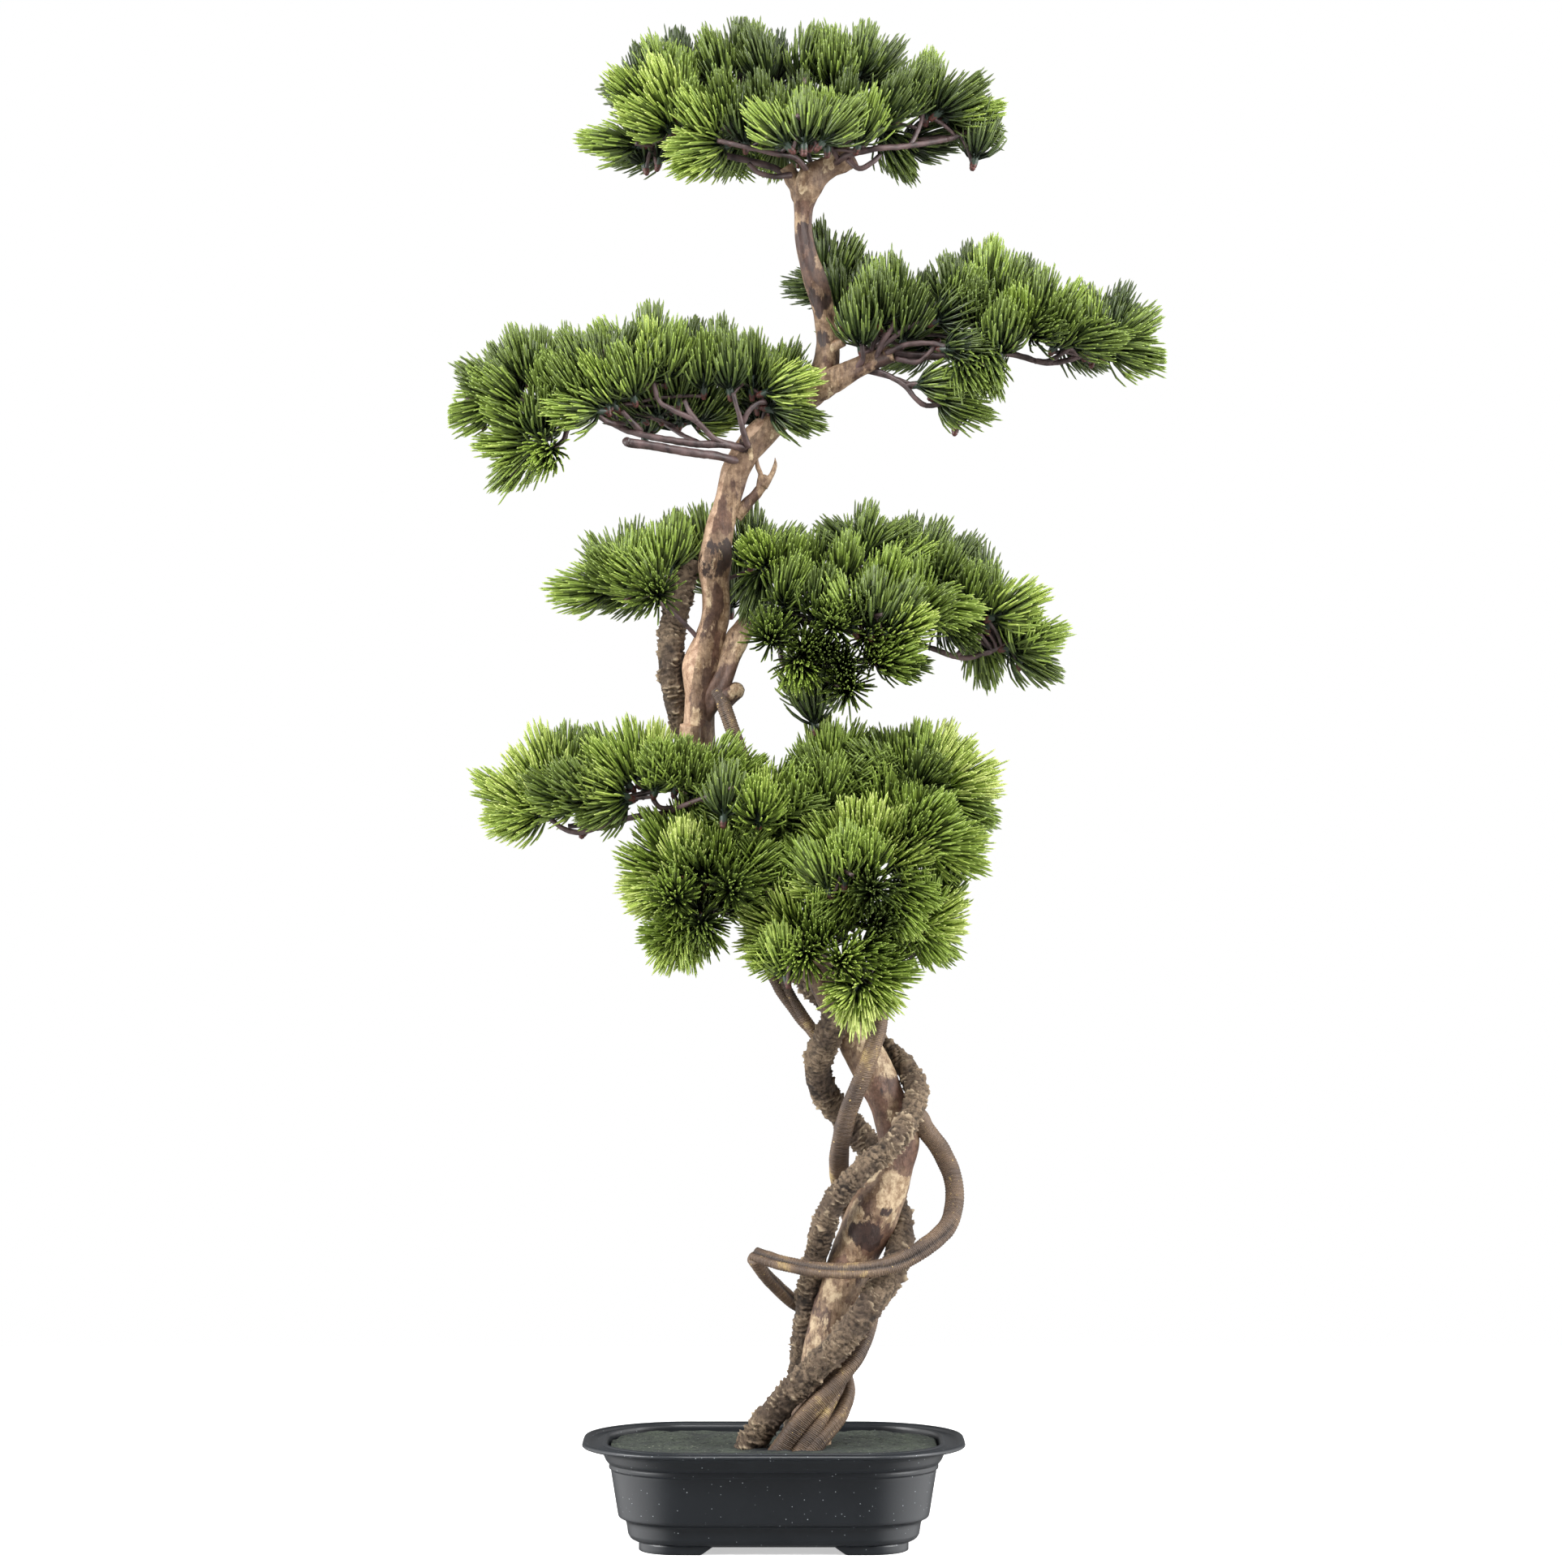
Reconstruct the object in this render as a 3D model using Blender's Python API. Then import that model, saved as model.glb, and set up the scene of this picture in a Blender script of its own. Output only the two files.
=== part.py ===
"""Artificial bonsai pine in a shallow plastic pot, 1.2 m tall, in metres with +Z up.

A bent wooden trunk stands in a block of foam soil.  Vines climb round its foot, thin
boughs leave it in five tiers, and each tier carries masses of needle tufts on twigs.
"""
import math
import random

import bmesh
import bpy
import numpy as np
from mathutils import Quaternion, Vector
from mathutils.bvhtree import BVHTree

MM = 0.001
GAP = 0.3 * MM                  # air kept between pieces that touch
GOLDEN_ANGLE = math.pi * (3 - math.sqrt(5))

# Pot: length runs along X, depth along Y.
RIM_LENGTH = 300 * MM
RIM_DEPTH = 200 * MM
POT_HEIGHT = 83 * MM
RIM_CORNER = 72 * MM
CORNER_STEPS = 4
FOOT_HEIGHT = 5.6 * MM
FOOT_GAP_X = 104 * MM           # between the left and the right feet
FOOT_GAP_Y = 46 * MM            # between the front and the back feet
FOOT_SLANT = 4 * MM
SOIL_TOP = 78.5 * MM
SOIL_AIR = 0.5 * MM             # between the foam block and the pot's wall

# The pot's outer side from the rim down: how far in from the rim's edge, and the height.
POT_SIDE = (
    (3.0, 83.0), (0.8, 82.2), (0.0, 80.6), (0.8, 78.9), (15.5, 77.6), (18.0, 73.8),
    (21.5, 66.0), (23.2, 64.0), (23.0, 62.2), (24.2, 61.0), (30.2, 25.0), (34.6, 22.4),
    (37.0, 20.0), (38.5, 10.0), (43.5, 5.6), (43.5, 0.0),
)
# The cavity from the floor up: how far in from the rim's edge, and the height.
POT_CAVITY = ((43.5, 9.6), (41.5, 20.0), (34.5, 28.0), (28.4, 61.0), (25.6, 66.0), (20.0, 76.5))

# Trunk: the centre line, then its thickness as a taper with swellings.
TRUNK_ROUTE = (
    (14, 0, 40), (30, 2, 92), (39, 4, 142), (50, 3, 190), (70, 0, 243), (88, -3, 283),
    (96, -3, 313), (88, -1, 348), (66, 4, 392), (42, 9, 436), (6, 12, 486), (-40, 14, 543),
    (-57, 12, 585), (-59, 6, 640), (-55, 2, 692), (-47, 0, 730), (-46, 0, 775),
    (-36, 1, 819), (-25, 2, 851), (4, 6, 883), (33, 8, 908), (42, 8, 938), (37, 4, 975),
    (24, 0, 1016), (23, 0, 1052), (33, 0, 1074), (62, 0, 1090),
)
TRUNK_FOOT_RADIUS = 16.5 * MM
TRUNK_TIP_RADIUS = 7.0 * MM
TRUNK_SWELLINGS = (             # height, spread along the trunk, growth of the radius
    (75, 14, 3.5), (250, 42, 5.0), (385, 60, 2.0), (575, 60, 3.2), (690, 16, 2.4),
    (772, 15, 2.6), (880, 50, 2.2), (990, 14, 1.6), (1066, 15, 4.2),
)
TRUNK_SIDES = 10
SHOOT_SIDES = 6

# Side shoots of the same wood, fused to the trunk: centre line, foot and tip radius.
TRUNK_SHOOTS = (
    (((24, 0, 1054), (17, -2, 1068), (9, -3, 1080)), 8.5, 6.0),
    (((-30, 3, 806), (-19, 2, 818), (-9, 0, 829), (-2, -1, 838)), 5.5, 1.8),
)

# Vines: name, kind, what the foot stands on or is seated against, centre line, foot and
# tip radius.
VINES = (
    ("rough_vine_right", "rough", "soil",
     ((-37, -10, 50), (-8, -22, 95), (17, -30, 126), (48, -35, 158), (74, -33, 191),
      (93, -14, 219), (98, 12, 243), (93, 30, 268), (82, 38, 298), (57, 35, 330),
      (37, 14, 358), (36, -6, 384), (47, -22, 410), (57, -24, 440), (57, -20, 457)),
     11.0, 10.3),
    ("rough_vine_left", "rough", "soil",
     ((16, 32, 50), (20, 27, 100), (25, 22, 140), (29, 17, 190), (37, -8, 235),
      (47, -26, 268), (68, -35, 295), (92, -35, 316), (109, -22, 342), (110, 2, 364),
      (92, 26, 384), (68, 38, 398), (46, 40, 418), (24, 40, 442), (0, 42, 474)),
     10.0, 8.0),
    ("rough_vine_upper", "rough", "trunk",
     ((4, 14, 486), (-6, 38, 496), (-24, 44, 516), (-42, 43, 550), (-56, 40, 580),
      (-64, 32, 618), (-76, 20, 656), (-81, 12, 693), (-77, 12, 735), (-69, 14, 773)),
     7.5, 11.0),
    ("smooth_vine_right", "smooth", "soil",
     ((-12, -34, 50), (19, -35, 98), (47, -29, 130), (65, -19, 152), (75, 0, 176),
      (77, 20, 198), (71, 32, 226), (62, 28, 254), (53, 8, 282), (51, -12, 308),
      (58, -26, 342), (70, -34, 372), (80, -35, 402), (84, -33, 428)), 8.5, 7.5),
    ("smooth_vine_foot", "smooth", "soil",
     ((6, -36, 50), (32, -33, 82), (50, -14, 103), (56, 8, 124), (50, 24, 142),
      (40, 30, 160)), 7.0, 5.5),
    ("loop_vine_side", "smooth", "rough_vine_left",
     ((107, -20, 342), (116, -2, 325), (129, 3, 308), (138, -4, 289), (140, -12, 270)),
     7.2, 7.6),
    ("loop_vine_front", "smooth", "loop_vine_side",
     ((140, -9, 276), (134, -26, 250), (117, -36, 236), (92, -42, 223), (60, -42, 218),
      (28, -36, 219), (0, -24, 224), (-15, -12, 228)), 7.6, 6.6),
    ("loop_vine_back", "smooth", "loop_vine_front",
     ((-15, -9, 225), (-7, 6, 211), (3, 18, 199), (14, 27, 188), (24, 34, 180)), 6.2, 5.4),
    ("smooth_vine_left", "smooth", "trunk",
     ((-57, -4, 644), (-43, -18, 647), (-34, -20, 637), (-26, -18, 620), (-20, -15, 603),
      (-18, -14, 572), (-17, -16, 535),
      (-16, -18, 497), (-8, -16, 460), (8, -10, 428), (27, -2, 402), (36, 2, 390)), 5.6, 5.4),
)

# Boughs: name, what carries it, centre line, foot and tip radius.
BOUGHS = (
    ("crown_bough_left", "trunk",
     ((17, -2, 1068), (-2, -3, 1080), (-31, 2, 1088), (-63, 8, 1095), (-89, 12, 1098)),
     3.8, 2.6),
    ("crown_bough_right", "trunk",
     ((46, 0, 1082), (58, -20, 1087), (80, -28, 1091), (104, -20, 1094), (136, -8, 1101)),
     3.8, 2.6),
    ("left_bough", "trunk",
     ((-20, 2, 858), (-36, -18, 861), (-60, -26, 861), (-80, -25, 864), (-100, -20, 868),
      (-118, -12, 874), (-137, -2, 885), (-162, 4, 893)), 4.2, 2.7),
    ("left_bough_lower", "trunk",
     ((-24, 2, 848), (-44, -20, 852), (-72, -33, 855), (-96, -37, 859), (-112, -39, 861),
      (-114, -41, 862)), 4.0, 4.6),
    ("right_bough", "trunk",
     ((26, 7, 903), (52, -3, 915), (74, -8, 925), (93, -9, 932)), 10.5, 6.0),
    ("right_bough_outer", "right_bough",
     ((94, -9, 932), (125, -8, 931), (157, -2, 932), (186, 4, 934), (215, 6, 927),
      (243, 5, 932)), 4.2, 2.6),
    ("middle_bough", "trunk",
     ((-58, 5, 648), (-40, -5, 676), (-31, -3, 700), (-20, 0, 722), (-11, 2, 742)),
     8.6, 4.6),
    ("middle_bough_right", "middle_bough",
     ((-16, 2, 730), (6, -12, 727), (44, -16, 719), (84, -12, 710), (119, 0, 704),
      (148, 2, 695), (171, 0, 700)), 3.8, 2.6),
    ("lower_bough_left", "trunk",
     ((-56, 12, 575), (-80, -8, 573), (-104, -12, 571), (-132, -10, 566), (-161, -4, 563)),
     4.0, 2.6),
    ("lower_bough_right", "trunk",
     ((-24, 14, 519), (2, 8, 528), (24, -14, 543), (52, -25, 555), (88, -20, 566),
      (125, -6, 579)), 4.6, 2.6),
    ("lower_bough_front", "trunk",
     ((4, 12, 484), (14, -16, 492), (36, -34, 492), (64, -43, 487), (89, -37, 478),
      (108, -28, 470)), 4.6, 2.6),
)
TRUNK_STEP = 24 * MM            # spacing of the rings along the trunk
VINE_STEP = 17 * MM
VINE_SIDES = 6
VINE_GAP = 0.3 * MM             # the sides of a faceted limb lie a little inside its corners
BOUGH_STEP = 24 * MM

# Needle masses: name, carrier, place along it from 0 to 1, the space's extent along
# X, Y and Z, and how many tufts it holds.
MASSES = (
    ("crown_left_low", "crown_bough_left", 1.0, (-153, -39), (-45, 45), (1070, 1148), 3),
    ("crown_left", "crown_bough_left", 0.7, (-139, -47), (-50, 50), (1125, 1192), 3),
    ("crown_crest_left", "trunk", 0.97, (-61, 20), (-45, 55), (1139, 1204), 3),
    ("crown_crest_right", "trunk", 1.0, (7, 100), (-50, 50), (1140, 1197), 3),
    ("crown_front", "crown_bough_right", 0.1, (-51, 98), (-110, -15), (1087, 1142), 5),
    ("crown_right", "crown_bough_right", 0.7, (84, 154), (-55, 55), (1116, 1173), 3),
    ("crown_right_tip", "crown_bough_right", 1.0, (125, 189), (-48, 48), (1089, 1155), 3),
    ("crown_back", "trunk", 0.95, (-100, 138), (42, 122), (1095, 1188), 5),
    ("left_tip", "left_bough", 1.0, (-260, -193), (-45, 45), (871, 944), 3),
    ("left_crest", "left_bough", 0.75, (-210, -47), (-75, 25), (891, 969), 5),
    ("left_hanging", "left_bough", 0.95, (-241, -149), (-40, 40), (823, 893), 3),
    ("left_inner", "trunk", 0.8, (-58, 42), (-60, 50), (873, 956), 4),
    ("left_back", "left_bough", 0.3, (-171, -35), (30, 100), (878, 950), 3),
    ("right_back", "right_bough", 0.3, (6, 186), (25, 105), (930, 1022), 5),
    ("right_inner", "right_bough", 0.7, (50, 118), (-60, 30), (939, 1019), 3),
    ("right_crest", "right_bough_outer", 0.3, (107, 182), (-45, 30), (956, 1026), 3),
    ("right_front", "right_bough_outer", 0.45, (121, 201), (-90, 5), (901, 963), 3),
    ("right_hanging", "right_bough", 0.6, (97, 184), (-50, 30), (873, 930), 3),
    ("right_tip", "right_bough_outer", 1.0, (184, 313), (-48, 48), (911, 1006), 5),
    ("middle_left", "trunk", 0.62, (-169, -66), (-65, 40), (727, 807), 4),
    ("middle_back", "trunk", 0.65, (-100, 30), (30, 100), (742, 815), 3),
    ("middle_crest", "middle_bough_right", 0.55, (30, 180), (-35, 55), (750, 819), 4),
    ("middle_front", "middle_bough_right", 0.3, (-3, 150), (-100, -20), (700, 772), 5),
    ("middle_low", "middle_bough", 0.4, (-23, 87), (-60, 45), (647, 721), 4),
    ("middle_tip", "middle_bough_right", 1.0, (149, 228), (-50, 50), (676, 773), 4),
    ("lower_left_tip", "lower_bough_left", 0.9, (-235, -81), (-50, 50), (553, 643), 5),
    ("lower_left_front", "lower_bough_left", 0.3, (-82, 4), (-95, -25), (572, 624), 2),
    ("lower_inner", "trunk", 0.42, (-120, -23), (-55, 45), (448, 581), 5),
    ("lower_crest", "lower_bough_right", 0.6, (10, 151), (-30, 60), (572, 653), 4),
    ("lower_right_tip", "lower_bough_right", 1.0, (98, 181), (-55, 45), (523, 622), 3),
    ("lower_front", "lower_bough_right", 0.4, (-12, 118), (-105, -28), (502, 583), 5),
    ("lower_right_low", "lower_bough_front", 1.0, (73, 152), (-75, 25), (457, 529), 3),
    ("lower_hanging", "lower_bough_front", 0.75, (35, 108), (-100, -15), (402, 481), 3),
    ("lower_left_low", "lower_bough_front", 0.3, (-23, 50), (-110, -20), (440, 505), 3),
    ("lower_back", "trunk", 0.36, (-35, 128), (40, 110), (496, 619), 5),
)
SPACE_POWER = 3.0               # 2 makes an ellipsoid of each space, more squares it
MASS_GAP = 0.4 * MM             # from a space's dividing plane to what grows inside
NEEDLE_REACH = 46 * MM
SMALL_CORE = 10.5 * MM
LARGE_CORE = 18.0 * MM
TUFT_SPACING = 23 * MM
BACKMOST_NEEDLE = -0.45         # cosine of the widest angle from a tuft's axis
TWIG_SHADOW = 0.55              # cosine of the bare cone round the twig that carries a tuft
STEM_RADIUS = 2.4 * MM
TWIG_RADIUS = 1.8 * MM

COLOURS = {                     # linear base colour, roughness
    "pot_plastic": ((0.026, 0.031, 0.036), 0.45),
    "soil_foam": ((0.055, 0.070, 0.048), 0.95),
    "trunk_wood": ((0.420, 0.270, 0.190), 0.65),
    "rough_vine": ((0.150, 0.105, 0.075), 0.90),
    "smooth_vine": ((0.140, 0.085, 0.060), 0.60),
    "bough_plastic": ((0.100, 0.055, 0.048), 0.55),
    "needle_plastic": ((0.100, 0.210, 0.040), 0.55),
}


def material(name):
    """A plain Principled material from the colour table."""
    made = bpy.data.materials.get(name)
    if made is None:
        made = bpy.data.materials.new(name)
        made.use_nodes = True
        colour, roughness = COLOURS[name]
        shader = made.node_tree.nodes["Principled BSDF"]
        shader.inputs["Base Color"].default_value = (*colour, 1.0)
        shader.inputs["Roughness"].default_value = roughness
        made.diffuse_color = (*colour, 1.0)
    return made


def dress(made, finish):
    """Give an object's mesh its name, material and smooth shading."""
    made.data.name = made.name
    made.data.materials.clear()
    made.data.materials.append(material(finish))
    made.data.shade_smooth()
    made.data.set_sharp_from_angle(angle=math.radians(35))
    return made


def place(mesh, name, collection, finish):
    """Put a mesh into the scene as one named object."""
    made = bpy.data.objects.new(name, mesh)
    collection.objects.link(made)
    return dress(made, finish)


def place_cutter(mesh, name, collection):
    """Put a mesh into the scene as a hidden cutter."""
    made = bpy.data.objects.new(name, mesh)
    collection.objects.link(made)
    made.hide_render = True
    made.display_type = "WIRE"
    return made


def evaluated_mesh(source):
    """The object's mesh with its modifiers applied."""
    graph = bpy.context.evaluated_depsgraph_get()
    return bpy.data.meshes.new_from_object(source.evaluated_get(graph), depsgraph=graph)


def discard(source):
    """Remove an object together with its mesh or curve."""
    data = source.data
    bpy.data.objects.remove(source, do_unlink=True)
    (bpy.data.curves if isinstance(data, bpy.types.Curve) else bpy.data.meshes).remove(data)


def largest_body(mesh):
    """Weld a mesh, turn its faces outward and keep only its largest connected body."""
    shape = bmesh.new()
    shape.from_mesh(mesh)
    bmesh.ops.remove_doubles(shape, verts=shape.verts, dist=0.0002 * MM)
    bmesh.ops.triangulate(shape, faces=shape.faces)
    unseen = set(shape.faces)
    bodies = []
    while unseen:
        front = [unseen.pop()]
        body = list(front)
        while front:
            for edge in front.pop().edges:
                for face in edge.link_faces:
                    if face in unseen:
                        unseen.remove(face)
                        body.append(face)
                        front.append(face)
        bodies.append(body)
    keep = set(max(bodies, key=len))
    scraps = [face for face in shape.faces if face not in keep]
    bmesh.ops.delete(shape, geom=scraps, context="FACES")
    bmesh.ops.recalc_face_normals(shape, faces=shape.faces)
    shape.to_mesh(mesh)
    shape.free()
    return mesh


def smooth_path(points, step):
    """Points about one step apart on the Catmull-Rom curve through a line in mm."""
    line = np.asarray(points, float) * MM
    line = np.vstack((2 * line[0] - line[1], line, 2 * line[-1] - line[-2]))
    path = []
    for before, start, end, after in zip(line, line[1:], line[2:], line[3:]):
        count = max(1, round(np.linalg.norm(end - start) / step))
        t = np.arange(count)[:, None] / count
        path.append(0.5 * (2 * start + (end - before) * t
                           + (2 * before - 5 * start + 4 * end - after) * t ** 2
                           + (3 * start - before - 3 * end + after) * t ** 3))
    return np.vstack(path + [line[-2:-1]])


def fraction_along(path):
    """How far along the path each of its points lies, from 0 to 1."""
    lengths = np.concatenate(([0.0], np.cumsum(np.linalg.norm(np.diff(path, axis=0), axis=1))))
    return lengths / lengths[-1]


def tapered(path, foot, tip):
    """A radius for each point, falling evenly from the foot to the tip."""
    return foot + (tip - foot) * fraction_along(path)


def tube_mesh(path, radii, sides):
    """A closed tapering tube along a path, made as a bevelled curve."""
    curve = bpy.data.curves.new("tube", "CURVE")
    curve.dimensions = "3D"
    curve.bevel_depth = MM
    curve.bevel_resolution = (sides - 4) // 2
    curve.use_fill_caps = True
    spline = curve.splines.new("POLY")
    spline.points.add(len(path) - 1)
    for point, where, radius in zip(spline.points, path, radii):
        point.co = (*where, 1.0)
        point.radius = radius / MM
    guide = bpy.data.objects.new("tube", curve)
    bpy.context.scene.collection.objects.link(guide)
    mesh = evaluated_mesh(guide)
    discard(guide)
    return largest_body(mesh)


def loft_mesh(rings):
    """A closed skin through rings of equal counts, with flat ends."""
    shape = bmesh.new()
    loops = [[shape.verts.new(point) for point in ring] for ring in rings]
    for lower, upper in zip(loops, loops[1:]):
        for i in range(len(lower)):
            j = (i + 1) % len(lower)
            shape.faces.new((lower[i], lower[j], upper[j], upper[i]))
    shape.faces.new(loops[0][::-1])
    shape.faces.new(loops[-1])
    bmesh.ops.triangulate(shape, faces=shape.faces)
    bmesh.ops.recalc_face_normals(shape, faces=shape.faces)
    mesh = bpy.data.meshes.new("loft")
    shape.to_mesh(mesh)
    shape.free()
    return mesh


def twig_mesh(path, radii):
    """A three-sided tapering twig; its rings face along the twig."""
    rings = []
    side = Vector((0.31, 0.52, 0.79))
    for i, (where, radius) in enumerate(zip(path, radii)):
        ahead = Vector(path[min(i + 1, len(path) - 1)]) - Vector(path[max(i - 1, 0)])
        if i == 0:
            ahead = Vector(path[1]) - Vector(path[0])
        ahead.normalize()
        side = (side - ahead * side.dot(ahead)).normalized()
        rings.append([Vector(where) + Quaternion(ahead, math.tau * k / 3) @ side * radius
                      for k in range(3)])
    return loft_mesh(rings)


def boolean(target, operation, operand, solver="EXACT"):
    """Apply one Boolean with an object or a whole collection; returns the new mesh."""
    modifier = target.modifiers.new("boolean", "BOOLEAN")
    modifier.operation = operation
    modifier.solver = solver
    if isinstance(operand, bpy.types.Collection):
        modifier.operand_type = "COLLECTION"
        modifier.collection = operand
    else:
        modifier.object = operand
    mesh = evaluated_mesh(target)
    target.modifiers.remove(modifier)
    return mesh


def cut_flat(mesh, height):
    """Cut away what lies below a level and close the cut with a flat face."""
    shape = bmesh.new()
    shape.from_mesh(mesh)
    everything = shape.verts[:] + shape.edges[:] + shape.faces[:]
    cut = bmesh.ops.bisect_plane(shape, geom=everything, plane_co=(0, 0, height),
                                 plane_no=(0, 0, 1), clear_inner=True)
    rim = [item for item in cut["geom_cut"] if isinstance(item, bmesh.types.BMEdge)]
    bmesh.ops.edgeloop_fill(shape, edges=rim)
    shape.to_mesh(mesh)
    shape.free()
    return largest_body(mesh)


def nearest_room(points, radii, limbs):
    """Free air between round points and the nearest limb, and the way out of it."""
    starts = np.vstack([path[:-1] for path, _ in limbs])
    ends = np.vstack([path[1:] for path, _ in limbs])
    start_radii = np.concatenate([sizes[:-1] for _, sizes in limbs])
    end_radii = np.concatenate([sizes[1:] for _, sizes in limbs])
    span = ends - starts
    offset = points[:, None] - starts[None]
    t = np.clip((offset * span).sum(-1) / (span * span).sum(-1), 0, 1)
    away = offset - t[..., None] * span
    distance = np.linalg.norm(away, axis=-1)
    room = distance - start_radii - t * (end_radii - start_radii) - radii[:, None]
    best = room.argmin(axis=1)
    rows = np.arange(len(points))
    outward = away[rows, best] / np.maximum(distance[rows, best], 1e-9)[:, None]
    return room[rows, best], outward


def wind_clear(path, radii, limbs, rooted):
    """Ease a vine off the limbs it winds round until it just lies against them."""
    offset = np.zeros_like(path)
    for turn in range(60):
        if turn < 45:
            offset[1:-1] = 0.5 * offset[1:-1] + 0.25 * (offset[:-2] + offset[2:])
        room, outward = nearest_room(path + offset, radii, limbs)
        offset += outward * np.maximum(VINE_GAP - room, 0)[:, None]
        if rooted:
            offset[0] = 0
    return path + offset


def rounded_ring(inset, height, corner=RIM_CORNER):
    """The rim's outline moved inward by an inset, as a ring of points at a height."""
    half_x = RIM_LENGTH / 2 - inset
    half_y = RIM_DEPTH / 2 - inset
    radius = max(corner - inset, 6 * MM)
    ring = []
    for quarter in range(4):
        for k in range(CORNER_STEPS + 1):
            angle = math.pi / 2 * (quarter + k / CORNER_STEPS)
            sign_x = 1 if quarter in (0, 3) else -1
            sign_y = 1 if quarter in (0, 1) else -1
            ring.append(((half_x - radius) * sign_x + radius * math.cos(angle),
                         (half_y - radius) * sign_y + radius * math.sin(angle), height))
    return ring


def channel_mesh(gap, along_x):
    """A bar with slanting sides that cuts the way between the feet."""
    low, high = gap / 2 + FOOT_SLANT, gap / 2 - FOOT_SLANT
    outline = ((-low, -MM), (low, -MM), (high, FOOT_HEIGHT), (-high, FOOT_HEIGHT))
    rings = []
    for end in (-RIM_LENGTH, RIM_LENGTH):
        rings.append([(end, a, z) if along_x else (a, end, z) for a, z in outline])
    return loft_mesh(rings)


def build_pot(parts, cutters):
    """The moulded pot: one wall with a flat rim, grooves and four corner feet."""
    outer = [rounded_ring(inset * MM, z * MM) for inset, z in POT_SIDE]
    mouth_inset = POT_CAVITY[-1][0]
    inner = [rounded_ring(inset * MM, z * MM)
             for inset, z in POT_CAVITY + ((mouth_inset, POT_HEIGHT / MM + 1),)]
    pot = place(loft_mesh(outer), "pot", parts, "pot_plastic")
    tools = (loft_mesh(inner), channel_mesh(FOOT_GAP_X, False), channel_mesh(FOOT_GAP_Y, True))
    for tool in tools:
        cutter = place_cutter(tool, "pot_cutter", cutters)
        pot.data = boolean(pot, "DIFFERENCE", cutter)
    largest_body(pot.data)
    return dress(pot, "pot_plastic")


def build_soil(parts):
    """The foam block that fills the pot and carries the trunk on its flat top."""
    rings = [rounded_ring(inset * MM + SOIL_AIR, z * MM + SOIL_AIR) for inset, z in POT_CAVITY[:-1]]
    mouth = POT_CAVITY[-1][0] * MM
    rings.append(rounded_ring(mouth + 1.8 * MM, SOIL_TOP - 2 * MM))
    rings.append(rounded_ring(mouth + 4 * MM, SOIL_TOP))
    return place(loft_mesh(rings), "soil", parts, "soil_foam")


def build_trunk(parts, limbs):
    """The bent trunk with its swellings, cut flat on the soil, and its two short shoots."""
    path = smooth_path(TRUNK_ROUTE, TRUNK_STEP)
    radii = tapered(path, TRUNK_FOOT_RADIUS, TRUNK_TIP_RADIUS)
    for height, spread, growth in TRUNK_SWELLINGS:
        radii += growth * MM * np.exp(-((path[:, 2] - height * MM) / (spread * MM)) ** 2)
    mesh = cut_flat(tube_mesh(path, radii, TRUNK_SIDES), SOIL_TOP + GAP)
    trunk = place(mesh, "trunk", parts, "trunk_wood")
    limbs["trunk"] = (path, radii)
    for k, (route, foot, tip) in enumerate(TRUNK_SHOOTS):
        shoot_path = smooth_path(route, VINE_STEP)
        shoot_radii = tapered(shoot_path, foot * MM, tip * MM)
        shoot = place_cutter(tube_mesh(shoot_path, shoot_radii, SHOOT_SIDES), "shoot", parts)
        trunk.data = boolean(trunk, "UNION", shoot)
        discard(shoot)
        limbs[f"trunk_shoot_{k}"] = (shoot_path, shoot_radii)
    largest_body(trunk.data)
    dress(trunk, "trunk_wood")


def seat(made, carrier, cutters, sides):
    """Cut a limb's root so that it sits against the limb that carries it."""
    path, radii = carrier
    cutter = place_cutter(tube_mesh(path, radii + 1.4 * GAP, sides), "seat_cutter", cutters)
    made.data = largest_body(boolean(made, "DIFFERENCE", cutter))
    return made


def build_vines(parts, cutters, limbs):
    """The vines that stand in the soil and wind round the trunk's foot."""
    for name, kind, carrier, route, foot, tip in VINES:
        path = smooth_path(route, VINE_STEP)
        radii = tapered(path, foot * MM, tip * MM)
        others = [limbs[other] for other in limbs
                  if not (other == carrier and name.startswith("loop"))]
        path = wind_clear(path, radii, others, carrier in limbs)
        mesh = tube_mesh(path, radii, VINE_SIDES)
        if carrier == "soil":
            mesh = cut_flat(mesh, SOIL_TOP + GAP)
        made = place(mesh, name, parts, kind + "_vine")
        if carrier in limbs:
            seat(made, limbs[carrier], cutters, TRUNK_SIDES if carrier == "trunk" else VINE_SIDES)
            dress(made, kind + "_vine")
        limbs[name] = (path, radii)


def build_boughs(parts, cutters, limbs):
    """The boughs, each rooted against the trunk or another bough."""
    for name, carrier, route, foot, tip in BOUGHS:
        path = smooth_path(route, BOUGH_STEP)
        radii = tapered(path, foot * MM, tip * MM)
        finish = "trunk_wood" if foot > 8 else "bough_plastic"
        made = place(tube_mesh(path, radii, 8 if foot > 8 else 6), name, parts, finish)
        seat(made, limbs[carrier], cutters, TRUNK_SIDES if carrier == "trunk" else 8)
        for shoot in [limb for limb in limbs if limb.startswith(carrier + "_shoot")]:
            seat(made, limbs[shoot], cutters, SHOOT_SIDES)
        dress(made, finish)
        limbs[name] = (path, radii)


def space_of(low_high):
    """Centre and half-size of a mass's space from its extents in mm."""
    box = np.asarray(low_high, float) * MM
    return box.mean(axis=1), (box[:, 1] - box[:, 0]) / 2


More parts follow.
